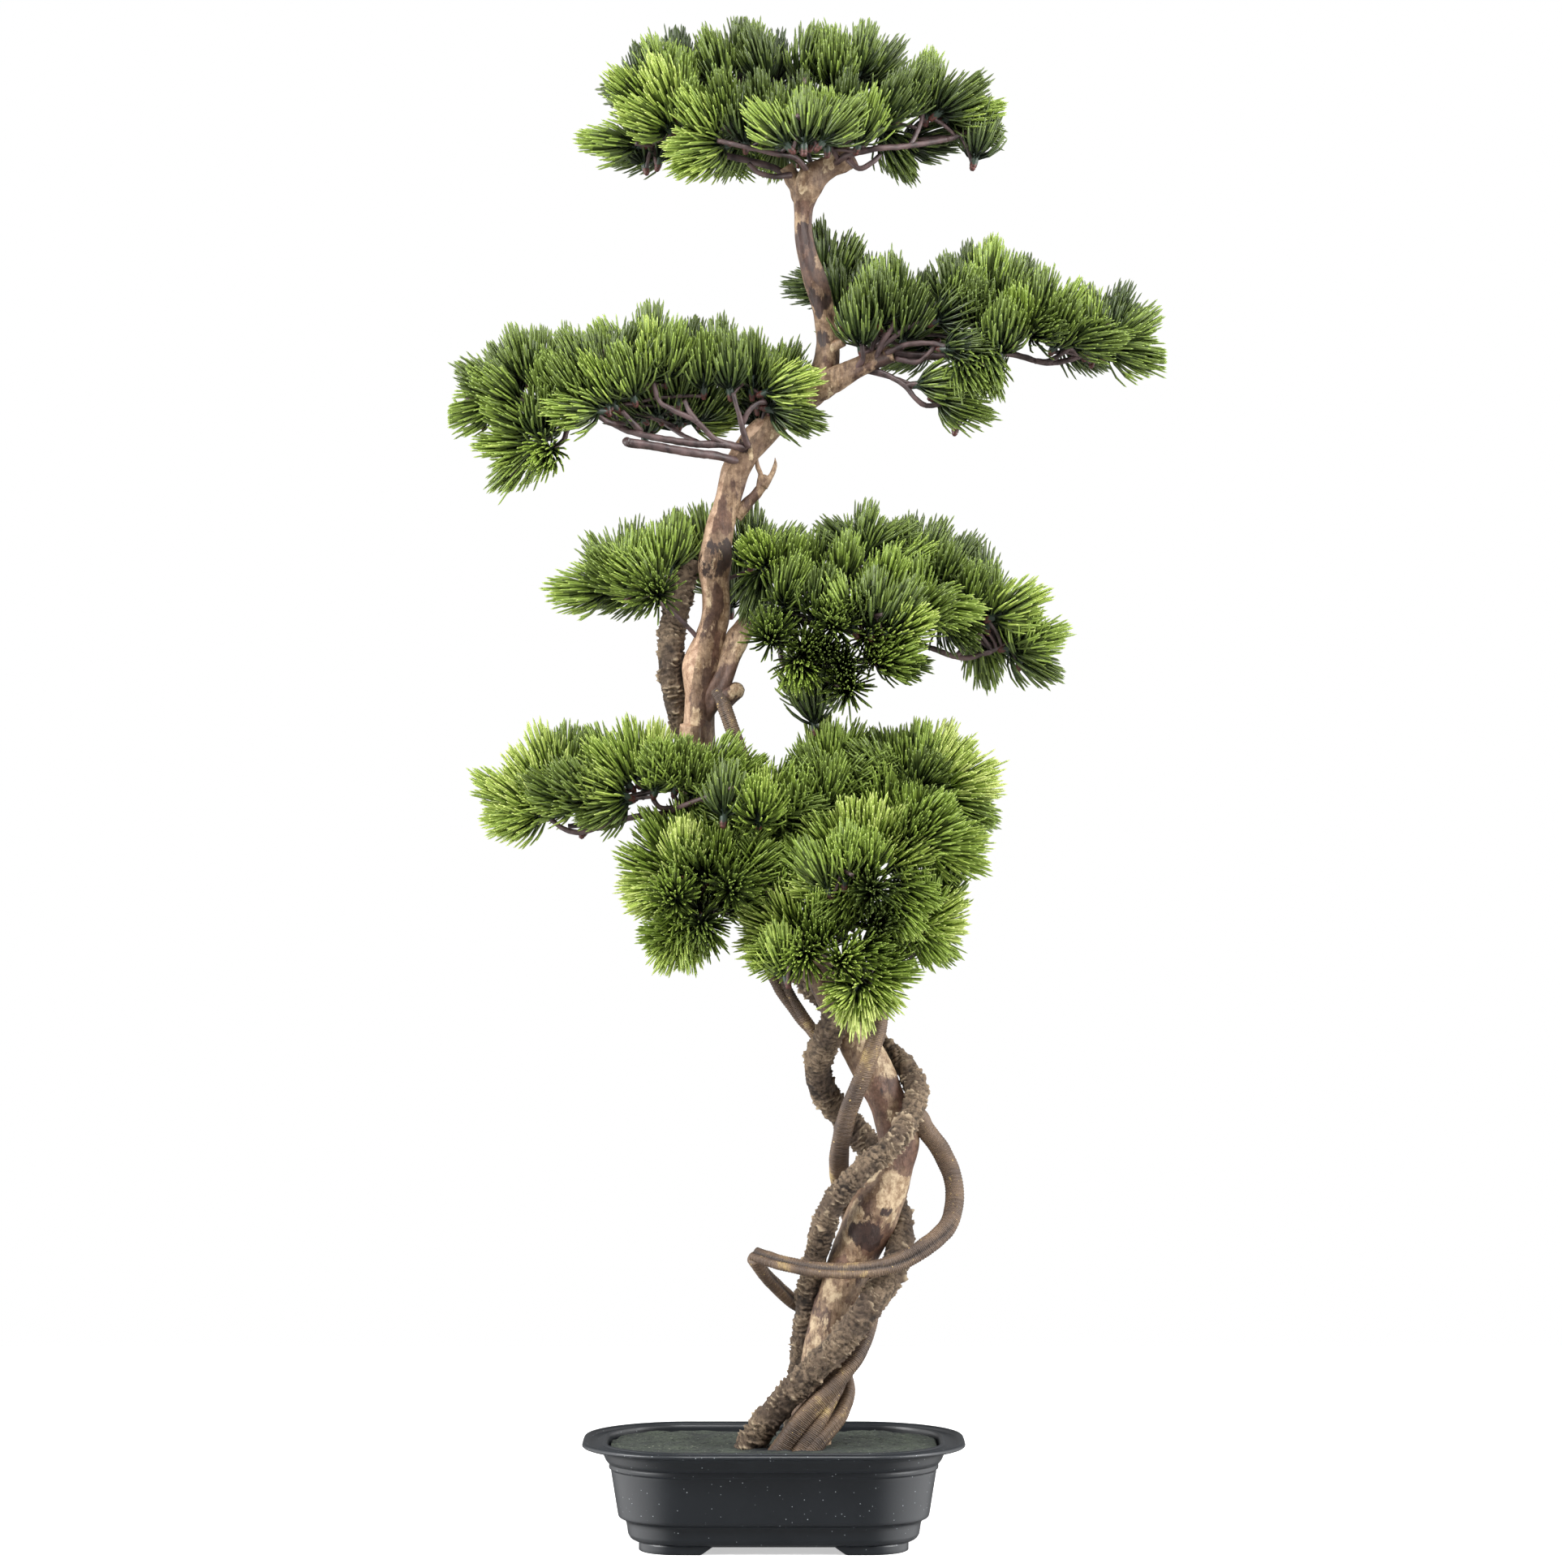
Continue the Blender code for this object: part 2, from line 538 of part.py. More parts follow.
def dividing_planes(index, spaces):
    """Planes that part one space from every other; what it holds stays below them."""
    centre, half = spaces[index]
    planes = []
    for other, (far_centre, far_half) in enumerate(spaces):
        if other == index:
            continue
        toward = far_centre - centre
        distance = np.linalg.norm(toward)
        normal = toward / distance
        mine = np.linalg.norm(normal * half)
        theirs = np.linalg.norm(normal * far_half)
        share = distance * mine / (mine + theirs)
        planes.append((*normal, normal @ centre + share - MASS_GAP))
    return np.array(planes)


def inside(space, planes, points, margin):
    """Which points lie in a mass's space with a margin to its edge."""
    centre, half = space
    scaled = np.abs(points - centre) / np.maximum(half - margin, 1 * MM)
    rounded = (scaled ** SPACE_POWER).sum(axis=-1) <= 1
    below = (points @ planes[:, :3].T <= planes[:, 3] - min(margin, SMALL_CORE)).all(axis=-1)
    return rounded & below


def bend(start, start_direction, end, count):
    """Points on a curve that leaves start along a direction and ends at end."""
    middle = start + start_direction * np.linalg.norm(end - start) * 0.45
    t = np.linspace(0, 1, count)[:, None]
    return (1 - t) ** 2 * start + 2 * t * (1 - t) * middle + t ** 2 * end


def clear_of(points, radius, limbs):
    """Whether a run of round points keeps clear of every limb."""
    room, _ = nearest_room(points, np.full(len(points), radius), limbs)
    return room.min() > GAP


def surface_beyond(tree, root, direction):
    """How far a limb's surface stands out under the end of a stem."""
    across = Vector(direction).orthogonal().normalized() * STEM_RADIUS
    feet = [Vector(root)] + [Vector(root) + Quaternion(direction, math.tau * k / 6) @ across
                             for k in range(6)]
    reach = 0.0
    for foot in feet:
        hit = tree.ray_cast(foot + Vector(direction) * 60 * MM, -Vector(direction))[0]
        if hit is not None:
            reach = max(reach, (hit - Vector(root)).dot(Vector(direction)))
    return reach


def grow_stem(carrier, tree, along, space, planes, limbs, others, draw):
    """The stem of a mass: from its carrier to the middle of the space and beyond it."""
    path, radii = carrier
    centre, half = space
    fractions = fraction_along(path)
    for attempt in range(80):
        spread = attempt / 80
        here = min(1.0, along + draw.uniform(-0.25, 0.12) * spread)
        root = np.array([np.interp(here, fractions, path[:, k]) for k in range(3)])
        behind = np.array([np.interp(here - 0.004, fractions, path[:, k]) for k in range(3)])
        axis = (root - behind) / np.linalg.norm(root - behind)
        hub = centre + half * (0, 0, -0.3) + half * [draw.uniform(-0.6, 0.6) * spread
                                                     for _ in range(3)]
        toward = hub - root
        if here > 0.995:
            direction = axis
            start = root + axis * GAP * 1.2
        else:
            toward = toward - axis * (toward @ axis)
            direction = toward / np.linalg.norm(toward)
            start = root + direction * (surface_beyond(tree, root, direction) + 1.8 * GAP)
        onward = hub - start
        far = hub + onward / np.linalg.norm(onward) * half.min() * 0.5
        route = np.vstack((start[None], start[None] + direction * 2 * MM,
                           bend(start + direction * 4 * MM, direction, hub, 3)[1:], far[None]))
        probe = smooth_path(route[1:] / MM, 4 * MM)
        apart = [limb for limb in limbs.values() if limb is not carrier] + others
        if (clear_of(probe, STEM_RADIUS + 0.5 * MM, apart)
                and clear_of(probe[1:], STEM_RADIUS + 0.5 * MM, [carrier])):
            return route
    return None


def tuft_planes(centre, centres):
    """Planes half way to the other tufts of a mass, so that needles don't cross."""
    rows = []
    for other in centres:
        if other is not centre:
            normal = (other - centre) / np.linalg.norm(other - centre)
            rows.append((*normal, normal @ (centre + other) / 2))
    return np.array(rows).reshape(-1, 4)


def core_radius(centre, walls, blockers):
    """The largest core that a tuft's share of the space and the limbs near it leave."""
    room, _ = nearest_room(centre[None], np.zeros(1), blockers)
    widest = min((walls[:, 3] - walls[:, :3] @ centre).min(), room[0]) - GAP
    return min(max(widest, SMALL_CORE), LARGE_CORE)


def tuft_mesh(centre, axis, arrival, space, planes, blockers, draw):
    """One tuft: a core whose faces are drawn out into long needles."""
    radius = core_radius(centre, planes, blockers)
    shape = bmesh.new()
    bmesh.ops.create_icosphere(shape, subdivisions=1, radius=radius)
    turn = Quaternion([draw.gauss(0, 1) for _ in range(4)]).normalized()
    bmesh.ops.rotate(shape, verts=shape.verts, cent=(0, 0, 0), matrix=turn.to_matrix())
    bmesh.ops.translate(shape, verts=shape.verts, vec=Vector(centre))
    tips = {}
    for face in shape.faces:
        middle = np.array(face.calc_center_median())
        direction = (middle - centre) / np.linalg.norm(middle - centre)
        forward = direction @ axis
        if forward < BACKMOST_NEEDLE or direction @ arrival > TWIG_SHADOW:
            continue
        full = NEEDLE_REACH * draw.uniform(0.88, 1.04) * (1.0 if forward > -0.25 else 0.7)
        for shorten in (1.0, 0.9, 0.8, 0.7, 0.6):
            tip = centre + direction * full * shorten
            steps = np.linspace(0.15, 1, 10)[:, None]
            run = middle + (tip - middle) * steps
            sizes = (1 - steps[:, 0]) * radius * 0.45 + 0.3 * MM
            free = inside(space, planes, tip[None], 0.0)[0]
            if free and nearest_room(run, sizes, blockers)[0].min() > GAP:
                tips[face] = tip
                break
    raised = bmesh.ops.poke(shape, faces=list(tips))
    for vertex, tip in zip(raised["verts"], tips.values()):
        vertex.co = Vector(tip)
    bmesh.ops.triangulate(shape, faces=shape.faces)
    bmesh.ops.recalc_face_normals(shape, faces=shape.faces)
    mesh = bpy.data.meshes.new("tuft")
    shape.to_mesh(mesh)
    shape.free()
    return mesh


def tuft_centres(space, planes, count, blockers, draw):
    """Spread tufts through a space, each as far from the others as it can be."""
    centre, half = space
    inner = np.maximum(half - 0.62 * NEEDLE_REACH, 0.36 * half)
    picks = np.array([[draw.uniform(-1, 1) for _ in range(3)] for _ in range(500)])
    picks = picks[(np.abs(picks) ** SPACE_POWER).sum(axis=1) < 1] * inner + centre
    picks = picks[inside(space, planes, picks, 1.5 * MM)]
    picks = picks[(picks @ planes[:, :3].T <= planes[:, 3] - 1.05 * SMALL_CORE).all(axis=1)]
    if len(picks):
        room, _ = nearest_room(picks, np.full(len(picks), SMALL_CORE), blockers)
        picks = picks[room > 2 * GAP]
    chosen = []
    while len(picks) and len(chosen) < count:
        if chosen:
            apart = np.min([np.linalg.norm((picks - c) / (1, 1, 0.7), axis=1)
                            for c in chosen], axis=0)
            if apart.max() < TUFT_SPACING:
                break
            chosen.append(picks[apart.argmax()])
        else:
            chosen.append(picks[(picks[:, 2]).argmax()])
    return chosen


def grow_twig(stem, tuft, blockers):
    """A twig from the stem to a tuft, from whichever stem point leaves it a free way."""
    order = np.argsort(np.linalg.norm(stem[2:] - tuft, axis=1)) + 2
    for start in order[:4]:
        onward = stem[start] - stem[start - 1]
        onward = onward / np.linalg.norm(onward)
        path = bend(stem[start], onward, tuft, 3)
        probe = bend(stem[start], onward, tuft, 12)
        if clear_of(probe, TWIG_RADIUS + 0.3 * MM, blockers):
            return path
    return None


def build_masses(parts, limbs):
    """Every mass of needle tufts: stems first, so that tufts keep clear of all of them."""
    spaces = [space_of(row[3:6]) for row in MASSES]
    planes = [dividing_planes(i, spaces) for i in range(len(MASSES))]
    stems = []
    for i, (name, carrier, along, *_rest) in enumerate(MASSES):
        draw = random.Random(name)
        skin = parts.objects[carrier].data
        tree = BVHTree.FromPolygons([v.co for v in skin.vertices],
                                    [face.vertices for face in skin.polygons])
        stem = grow_stem(limbs[carrier], tree, along, spaces[i], planes[i], limbs,
                         [(other, np.full(len(other), STEM_RADIUS)) for other in stems], draw)
        if stem is None:
            raise RuntimeError(name + " has no free way for its stem")
        stems.append(stem)
    for i, row in enumerate(MASSES):
        name, count = row[0], row[-1]
        draw = random.Random(name + " tufts")
        stem = stems[i]
        others = [(other, np.full(len(other), STEM_RADIUS))
                  for k, other in enumerate(stems) if k != i]
        blockers = list(limbs.values()) + others
        centres = tuft_centres(spaces[i], planes[i], count, blockers, draw)
        pieces = bpy.data.collections.new("pieces")
        bpy.context.scene.collection.children.link(pieces)
        radii = np.linspace(STEM_RADIUS, 0.8 * STEM_RADIUS, len(stem))
        mass = place(twig_mesh(stem, radii), name, parts, "needle_plastic")
        for centre in centres:
            path = grow_twig(stem, centre, blockers)
            if path is None:
                continue
            place_cutter(twig_mesh(path, np.full(len(path), TWIG_RADIUS)), "twig", pieces)
            outward = centre - (stem[-2] - np.array((0, 0, 0.6)) * spaces[i][1][2])
            axis = outward / np.linalg.norm(outward) + np.array((0, 0, 0.35))
            axis = axis / np.linalg.norm(axis)
            walls = np.vstack((planes[i], tuft_planes(centre, centres)))
            arrival = (path[1] - centre) / np.linalg.norm(path[1] - centre)
            mesh = tuft_mesh(centre, axis, arrival, spaces[i], walls, blockers, draw)
            place_cutter(mesh, "tuft", pieces)
        mass.data = largest_body(boolean(mass, "UNION", pieces, "MANIFOLD"))
        dress(mass, "needle_plastic")
        for piece in list(pieces.objects):
            discard(piece)
        bpy.data.collections.remove(pieces)


def stand_on_origin(parts):
    """Move everything so that the middle of the box's underside is the origin."""
    corners = np.array([v.co for made in parts.objects for v in made.data.vertices])
    low, high = corners.min(axis=0), corners.max(axis=0)
    shift = Vector(((low[0] + high[0]) / 2, (low[1] + high[1]) / 2, low[2]))
    for made in parts.objects:
        made.location = -shift


for old in list(bpy.data.objects):
    bpy.data.objects.remove(old, do_unlink=True)
bonsai = bpy.data.collections.new("potted_bonsai")
cutting = bpy.data.collections.new("cutters")
bpy.context.scene.collection.children.link(bonsai)
bpy.context.scene.collection.children.link(cutting)
build_pot(bonsai, cutting)
build_soil(bonsai)
all_limbs = {}
build_trunk(bonsai, all_limbs)
build_vines(bonsai, cutting, all_limbs)
build_boughs(bonsai, cutting, all_limbs)
build_masses(bonsai, all_limbs)
stand_on_origin(bonsai)
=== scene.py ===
"""Artificial bonsai pine in a shallow plastic pot, 1.2 m tall.

The file follows the plant as it is put together: the pot, the block of foam, the bent
trunk, the vines round its foot, the boughs, then twigs, sheaths and needle tufts.
"""
import math
import random

import bpy
import numpy as np
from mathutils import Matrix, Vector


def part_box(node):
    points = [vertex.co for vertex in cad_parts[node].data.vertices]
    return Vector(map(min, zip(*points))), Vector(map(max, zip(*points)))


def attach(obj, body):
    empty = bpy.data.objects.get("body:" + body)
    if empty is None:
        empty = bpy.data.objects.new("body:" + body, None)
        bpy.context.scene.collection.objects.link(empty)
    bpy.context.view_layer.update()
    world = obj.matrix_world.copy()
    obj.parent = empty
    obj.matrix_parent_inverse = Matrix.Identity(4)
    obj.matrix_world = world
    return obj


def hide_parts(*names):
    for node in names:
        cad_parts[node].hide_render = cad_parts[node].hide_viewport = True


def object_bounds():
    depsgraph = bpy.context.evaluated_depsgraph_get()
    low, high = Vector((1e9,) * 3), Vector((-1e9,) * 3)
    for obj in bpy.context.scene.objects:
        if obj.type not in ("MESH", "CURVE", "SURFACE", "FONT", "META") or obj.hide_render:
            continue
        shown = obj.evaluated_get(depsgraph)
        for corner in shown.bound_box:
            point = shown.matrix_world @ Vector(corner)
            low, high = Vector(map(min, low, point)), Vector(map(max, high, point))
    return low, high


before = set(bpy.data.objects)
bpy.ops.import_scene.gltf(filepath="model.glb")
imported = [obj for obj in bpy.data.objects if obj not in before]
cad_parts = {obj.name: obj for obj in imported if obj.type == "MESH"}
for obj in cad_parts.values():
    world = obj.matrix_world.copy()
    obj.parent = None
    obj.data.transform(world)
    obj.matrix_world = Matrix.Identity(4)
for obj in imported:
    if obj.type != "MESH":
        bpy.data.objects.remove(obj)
cad_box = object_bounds()

# ---- Pot -----------------------------------------------------------------------------
# A shallow tray of dark polypropylene, injection-moulded in one shot: a wide flange with
# a bead at each edge, a stepped shoulder, tapering sides, a foot band and four feet.
# Every shape below is worked out from the middle of the pot and moved to it when placed.

MM = 0.001
pot_low, pot_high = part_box("pot")
pot_middle = np.array([(pot_low.x + pot_high.x) / 2, (pot_low.y + pot_high.y) / 2, 0.0])

RIM_LENGTH = 300 * MM
RIM_DEPTH = 200 * MM
RIM_CORNER = 78 * MM
END_BOW = 4 * MM                # how far the two ends bulge
POT_PROFILE = (                 # mm in from the rim's edge, and height, from the floor out
    (60, 9.6), (44, 9.6), (39.5, 20), (32.5, 28), (26.4, 61), (23.6, 66), (20.2, 75.8),
    (19.8, 80.2), (18.8, 82.4), (17.2, 82.4), (16.2, 81.0), (10.0, 79.6), (6.6, 79.8),
    (4.8, 82.0), (3.0, 83.0), (1.4, 82.6), (0.2, 81.2), (0.2, 79.8), (1.8, 78.8),
    (4.0, 78.6), (14.4, 77.2), (16.2, 74.6), (18.4, 69.4), (20.0, 67.2), (21.5, 66.2),
    (21.0, 64.6), (21.0, 62.8), (22.7, 61.6), (22.7, 60.0), (28.0, 26.6), (28.8, 24.6),
    (32.4, 23.0), (33.9, 21.6), (34.7, 19.4), (35.9, 11.4), (37.9, 8.2), (41.5, 6.3),
    (45.0, 5.6), (60, 5.6),
)
FOOT_HEIGHT = 5.6 * MM
FOOT_GAP_X = 104 * MM
FOOT_GAP_Y = 46 * MM
FOOT_INSET = 41 * MM
SPECK_SCALE = 420.0             # cells of the pale specks to a metre: one each 2.4 mm


def eased(profile, radius):
    """A profile in mm with each corner cut back by a radius and bridged by a parabola."""
    line = np.asarray(profile, float)
    before, corner, after = line[:-2], line[1:-1], line[2:]
    back, onward = before - corner, after - corner
    reach_back = np.minimum(radius / np.linalg.norm(back, axis=1), 0.45)[:, None]
    reach_on = np.minimum(radius / np.linalg.norm(onward, axis=1), 0.45)[:, None]
    start, end = corner + back * reach_back, corner + onward * reach_on
    t = np.array([0, 0.25, 0.5, 0.75, 1])[None, :, None]
    arcs = (1 - t) ** 2 * start[:, None] + 2 * t * (1 - t) * corner[:, None] + t ** 2 * end[:, None]
    return np.vstack((line[:1], arcs.reshape(-1, 2), line[-1:])) * MM


def rounded_outline(half_x, half_y, corners, steps, straight, bow=0.0):
    """Rings of a rectangle with round corners: four quarter arcs joined by even steps.

    With a bow the ends bulge: x grows in proportion, most on the middle line."""
    signs = np.array(((1, 1), (-1, 1), (-1, -1), (1, -1)))
    sides = np.stack((np.asarray(half_x) - bow, np.asarray(half_y)), -1)[:, None, None, :]
    corners = np.asarray(corners)[..., None, None] * np.ones((1, 4, 1, 1))
    angle = (np.arange(4)[:, None] + np.linspace(0, 1, steps + 1)[None]) * math.pi / 2
    turn = np.stack((np.cos(angle), np.sin(angle)), -1)[None]
    arcs = signs[None, :, None, :] * (sides - corners) + corners * turn
    t = (np.arange(1, straight + 1) / (straight + 1))[None, None, :, None]
    ends, starts = arcs[:, :, -1:], np.roll(arcs, -1, axis=1)[:, :, :1]
    rings = np.concatenate((arcs, ends + (starts - ends) * t), axis=2)
    middle = 1 - (rings[..., 1] / sides[..., 1]) ** 2
    rings[..., 0] *= 1 + bow / sides[..., 0] * middle
    return rings.reshape(len(rings), -1, 2)


def at_heights(rings, heights):
    """Flat rings raised to their heights."""
    z = np.broadcast_to(np.asarray(heights)[:, None, None], rings.shape[:2] + (1,))
    return np.concatenate((rings, z), axis=-1)


def skin(rings):
    """A closed skin over rings: four-sided faces between rings, and a fan on each end."""
    n, m = rings.shape[:2]
    points = np.vstack((rings.reshape(-1, 3), rings[0].mean(0), rings[-1].mean(0)))
    i = np.arange(n - 1)[:, None] * m
    j = np.arange(m)[None]
    k = (j + 1) % m
    quads = np.stack((i + j, i + k, i + m + k, i + m + j), -1).reshape(-1, 4)
    first, last = np.full(m, n * m), np.full(m, n * m + 1)
    fans = np.vstack((np.stack((k[0], j[0], first), -1),
                      np.stack(((n - 1) * m + j[0], (n - 1) * m + k[0], last), -1)))
    return points, quads, fans


def merged(shells):
    """Several skins as one: their points in a row, and their faces counted on."""
    starts = np.concatenate(([0], np.cumsum([len(points) for points, _, _ in shells])[:-1]))
    return (np.vstack([points for points, _, _ in shells]),
            np.vstack([quads + s for s, (_, quads, _) in zip(starts, shells)]),
            np.vstack([fans + s for s, (_, _, fans) in zip(starts, shells)]))


def add_piece(name, shell, finishes, wear=None, replaces=(), slot=None, **traits):
    """A piece from a skin, placed on the pot's middle; traits are numbers kept per point."""
    points, quads, fans = shell
    mesh = bpy.data.meshes.new(name)
    mesh.vertices.add(len(points))
    mesh.vertices.foreach_set("co", (points + pot_middle).astype(np.float32).ravel())
    corners = np.concatenate((quads.ravel(), fans.ravel())).astype(np.int32)
    sizes = np.concatenate((np.full(len(quads), 4), np.full(len(fans), 3)))
    mesh.loops.add(len(corners))
    mesh.loops.foreach_set("vertex_index", corners)
    mesh.polygons.add(len(sizes))
    starts = np.concatenate(([0], np.cumsum(sizes)[:-1])).astype(np.int32)
    mesh.polygons.foreach_set("loop_start", starts)
    if wear is not None:
        mesh.polygons.foreach_set("material_index", np.asarray(wear, np.int32))
    mesh.update(calc_edges=True)
    mesh.shade_smooth()
    for made in finishes:
        mesh.materials.append(made)
    for trait, values in traits.items():
        held = mesh.attributes.new(trait, "FLOAT", "POINT")
        held.data.foreach_set("value", np.asarray(values, np.float32))
    piece = bpy.data.objects.new(name, mesh)
    bpy.context.scene.collection.objects.link(piece)
    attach(piece, "root")
    if replaces:
        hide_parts(*replaces)


def shade(code):
    """An sRGB hex colour as linear red, green, blue and full opacity."""
    parts = [int(code[i:i + 2], 16) / 255 for i in (1, 3, 5)]
    return [p / 12.92 if p <= 0.04045 else ((p + 0.055) / 1.055) ** 2.4 for p in parts] + [1.0]


def new_finish(name, **sockets):
    """A material with sockets of its Principled shader set; returns it and its nodes."""
    made = bpy.data.materials.new(name)
    made.use_nodes = True
    shader = made.node_tree.nodes["Principled BSDF"]
    for socket, value in sockets.items():
        shader.inputs[socket.replace("_", " ")].default_value = value
    return made, made.node_tree, shader


def add(tree, kind, inputs, out=0, **settings):
    """Add a node with its settings; an input takes a value or another node's output."""
    node = tree.nodes.new("ShaderNode" + kind)
    for setting, value in settings.items():
        setattr(node, setting, value)
    for socket, value in inputs.items():
        if isinstance(value, bpy.types.NodeSocket):
            tree.links.new(value, node.inputs[socket])
        else:
            node.inputs[socket].default_value = value
    return node.outputs[out]


def laid_over(tree, tone, layers):
    """Colours laid over a tone one by one, each where its pattern goes from low to high.

    A layer is the pattern, low, high, the colour's share at low and at high, and its code."""
    for pattern, low, high, at_low, at_high, code in layers:
        share = add(tree, "MapRange", {"Value": pattern, 1: low, 2: high, 3: at_low, 4: at_high})
        tone = add(tree, "Mix", {0: share, 6: tone, 7: shade(code)}, out=2, data_type="RGBA")
    return tone


def wire(tree, shader, **outputs):
    """Link outputs of nodes to sockets of a finish's shader."""
    for socket, output in outputs.items():
        tree.links.new(output, shader.inputs[socket.replace("_", " ")])


# Polypropylene, injection-moulded in a fine-sanded tool: a satin blue-black skin that
# catches soft light on its round corners, with pale mineral specks in the plastic.  Here and
# below a scale is cells to a metre: clouds of 36 mm, and a grain of 1.1 mm.
pot_plastic, tree, shader = new_finish("moulded_polypropylene", IOR=1.49,
                                       Specular_IOR_Level=0.5)
spot = add(tree, "TexCoord", {}, out=3)
cloud = add(tree, "TexNoise", {"Vector": spot, "Scale": 28.0, "Detail": 3.0})
cells = {"Vector": spot, "Scale": SPECK_SCALE, "Randomness": 1.0}
speck = add(tree, "TexVoronoi", cells)
chance = add(tree, "SeparateColor", {"Color": add(tree, "TexVoronoi", cells, out=1)})
small = add(tree, "MapRange", {"Value": speck, 1: 0.18, 2: 0.08})
rare = add(tree, "Math", {0: chance, 1: 0.88}, operation="GREATER_THAN")
mark = add(tree, "Math", {0: small, 1: rare}, operation="MULTIPLY")
tone = laid_over(tree, shade("#15181c"), ((cloud, 0.0, 1.0, 0.0, 1.0, "#1b1f24"),
                                          (mark, 0.0, 1.0, 0.0, 1.0, "#a9b0b5")))
rough = add(tree, "MapRange", {"Value": cloud, 3: 0.30, 4: 0.42})
grain = add(tree, "TexNoise", {"Vector": spot, "Scale": 900.0, "Detail": 2.0})
relief = add(tree, "Bump", {"Height": grain, "Strength": 0.12, "Distance": 0.3 * MM})
wire(tree, shader, Base_Color=tone, Roughness=rough, Normal=relief)

profile = eased(POT_PROFILE, 0.9)
corner = np.maximum(RIM_CORNER - profile[:, 0], 6 * MM)
wall = at_heights(rounded_outline(RIM_LENGTH / 2 - profile[:, 0], RIM_DEPTH / 2 - profile[:, 0],
                                  corner[:, None], 24, 8, END_BOW), profile[:, 1])
shells = [skin(wall[::-1])]
foot_z = np.array((0.0, 0.5, 3.0, 5.6, 7.5)) * MM
foot_in = np.array((0.6, 0.0, 0.0, 0.0, 0.0)) * MM
slant = 8 * MM * (1 - foot_z / FOOT_HEIGHT)
near_x = FOOT_GAP_X / 2 - 4 * MM + slant + foot_in
near_y = FOOT_GAP_Y / 2 - 4 * MM + slant + foot_in
far_x = RIM_LENGTH / 2 - FOOT_INSET - END_BOW - foot_in
far_y = RIM_DEPTH / 2 - FOOT_INSET - foot_in
round_off = np.tile(np.array((29.5, 1.5, 1.5, 1.5)) * MM, (len(foot_z), 1))
foot = rounded_outline((far_x - near_x) / 2, (far_y - near_y) / 2, round_off, 8, 1)
foot += np.stack((far_x + near_x, far_y + near_y), -1)[:, None] / 2
for side_x in (1, -1):
    for side_y in (1, -1):
        rings = at_heights(foot * (side_x, side_y), foot_z)
        shells.append(skin(rings if side_x == side_y else rings[:, ::-1]))
add_piece("moulded_pot", merged(shells), [pot_plastic], replaces=["pot"], slot="pot_plastic")

# ---- Foam block ------------------------------------------------------------------------
# A block of green floral foam cut to the pot and dusted dark: it grips the trunk and the
# vines, is torn and crumbled where they enter it, and carries a few pale crumbs.

SOIL_TOP = 78.5 * MM
SOIL_RINGS = 46


def lumps(points, size, seed):
    """Smooth random relief from -1 to 1: a value for each lattice corner, blended between."""
    place = np.asarray(points, float) / size
    cell = np.floor(place).astype(np.int64)
    t = place - cell
    t = t * t * (3 - 2 * t)
    total = 0.0
    for step in np.ndindex(2, 2, 2):
        key = ((cell + step) * (374761393, 668265263, 2147483647)).sum(-1) + seed * 974634777
        key = (key ^ (key >> 13)) & 0xFFFFFFFF
        key = (key * 1274126177) & 0xFFFFFFFF
        key = (key ^ (key >> 16)) & 0xFFFF
        weight = np.where(step, t, 1 - t).prod(-1)
        total = total + (key / 32767.5 - 1) * weight
    return total


# Floral foam dusted with soil: dead matt and grey-green, with dark pits, pale crumbs and a
# blacker patch where the stems have torn it: clouds of 22 mm, and a grit of 2.4 mm.
foam, tree, shader = new_finish("dusted_floral_foam", Roughness=0.95, IOR=1.45)
spot = add(tree, "TexCoord", {}, out=3)
cloud = add(tree, "TexNoise", {"Vector": spot, "Scale": 45.0, "Detail": 5.0, "Roughness": 0.65})
grit = add(tree, "TexNoise", {"Vector": spot, "Scale": 420.0, "Detail": 3.0})
ragged = add(tree, "MapRange", {"Value": grit, 1: 0.35, 2: 0.62, 3: 0.55, 4: 1.5})
torn = add(tree, "Attribute", {}, out=2, attribute_name="torn")
torn = add(tree, "Math", {0: torn, 1: ragged}, operation="MULTIPLY")
tone = laid_over(tree, shade("#262a28"), (
    (cloud, 0.35, 0.68, 0.0, 1.0, "#3d4439"), (grit, 0.36, 0.46, 1.0, 0.0, "#171b18"),
    (grit, 0.66, 0.74, 0.0, 1.0, "#8d8f80"), (torn, 0.42, 0.60, 0.0, 1.0, "#15171b")))
relief = add(tree, "Bump", {"Height": grit, "Strength": 0.8, "Distance": 1.2 * MM})
wire(tree, shader, Base_Color=tone, Normal=relief)

share = np.linspace(0, 1, SOIL_RINGS) ** 0.9
inset = np.concatenate(([44.0, 42.5, 35.5, 29.4, 26.4, 21.8], 22.6 + share * 71.0)) * MM
level = np.concatenate(([10.2, 20.5, 28.5, 61.5, 66.5, 76.4], np.full(SOIL_RINGS, 78.0))) * MM
half_x = RIM_LENGTH / 2 - inset
half_y = RIM_DEPTH / 2 - inset
corner = np.clip(RIM_CORNER - inset, 6 * MM, None)
corner = np.minimum(corner, 0.98 * half_y)
soil = at_heights(rounded_outline(half_x, half_y, corner[:, None], 30, 22, END_BOW), level)
top = soil[6:]
top[..., 2] += 0.9 * MM * lumps(top * (1, 1, 0), 9 * MM, 3)
top[..., 2] += 0.5 * MM * lumps(top * (1, 1, 0), 3.2 * MM, 4)
torn = np.exp(-((soil[..., 0] - 8 * MM) / (34 * MM)) ** 2
              - ((soil[..., 1] + 34 * MM) / (17 * MM)) ** 2)
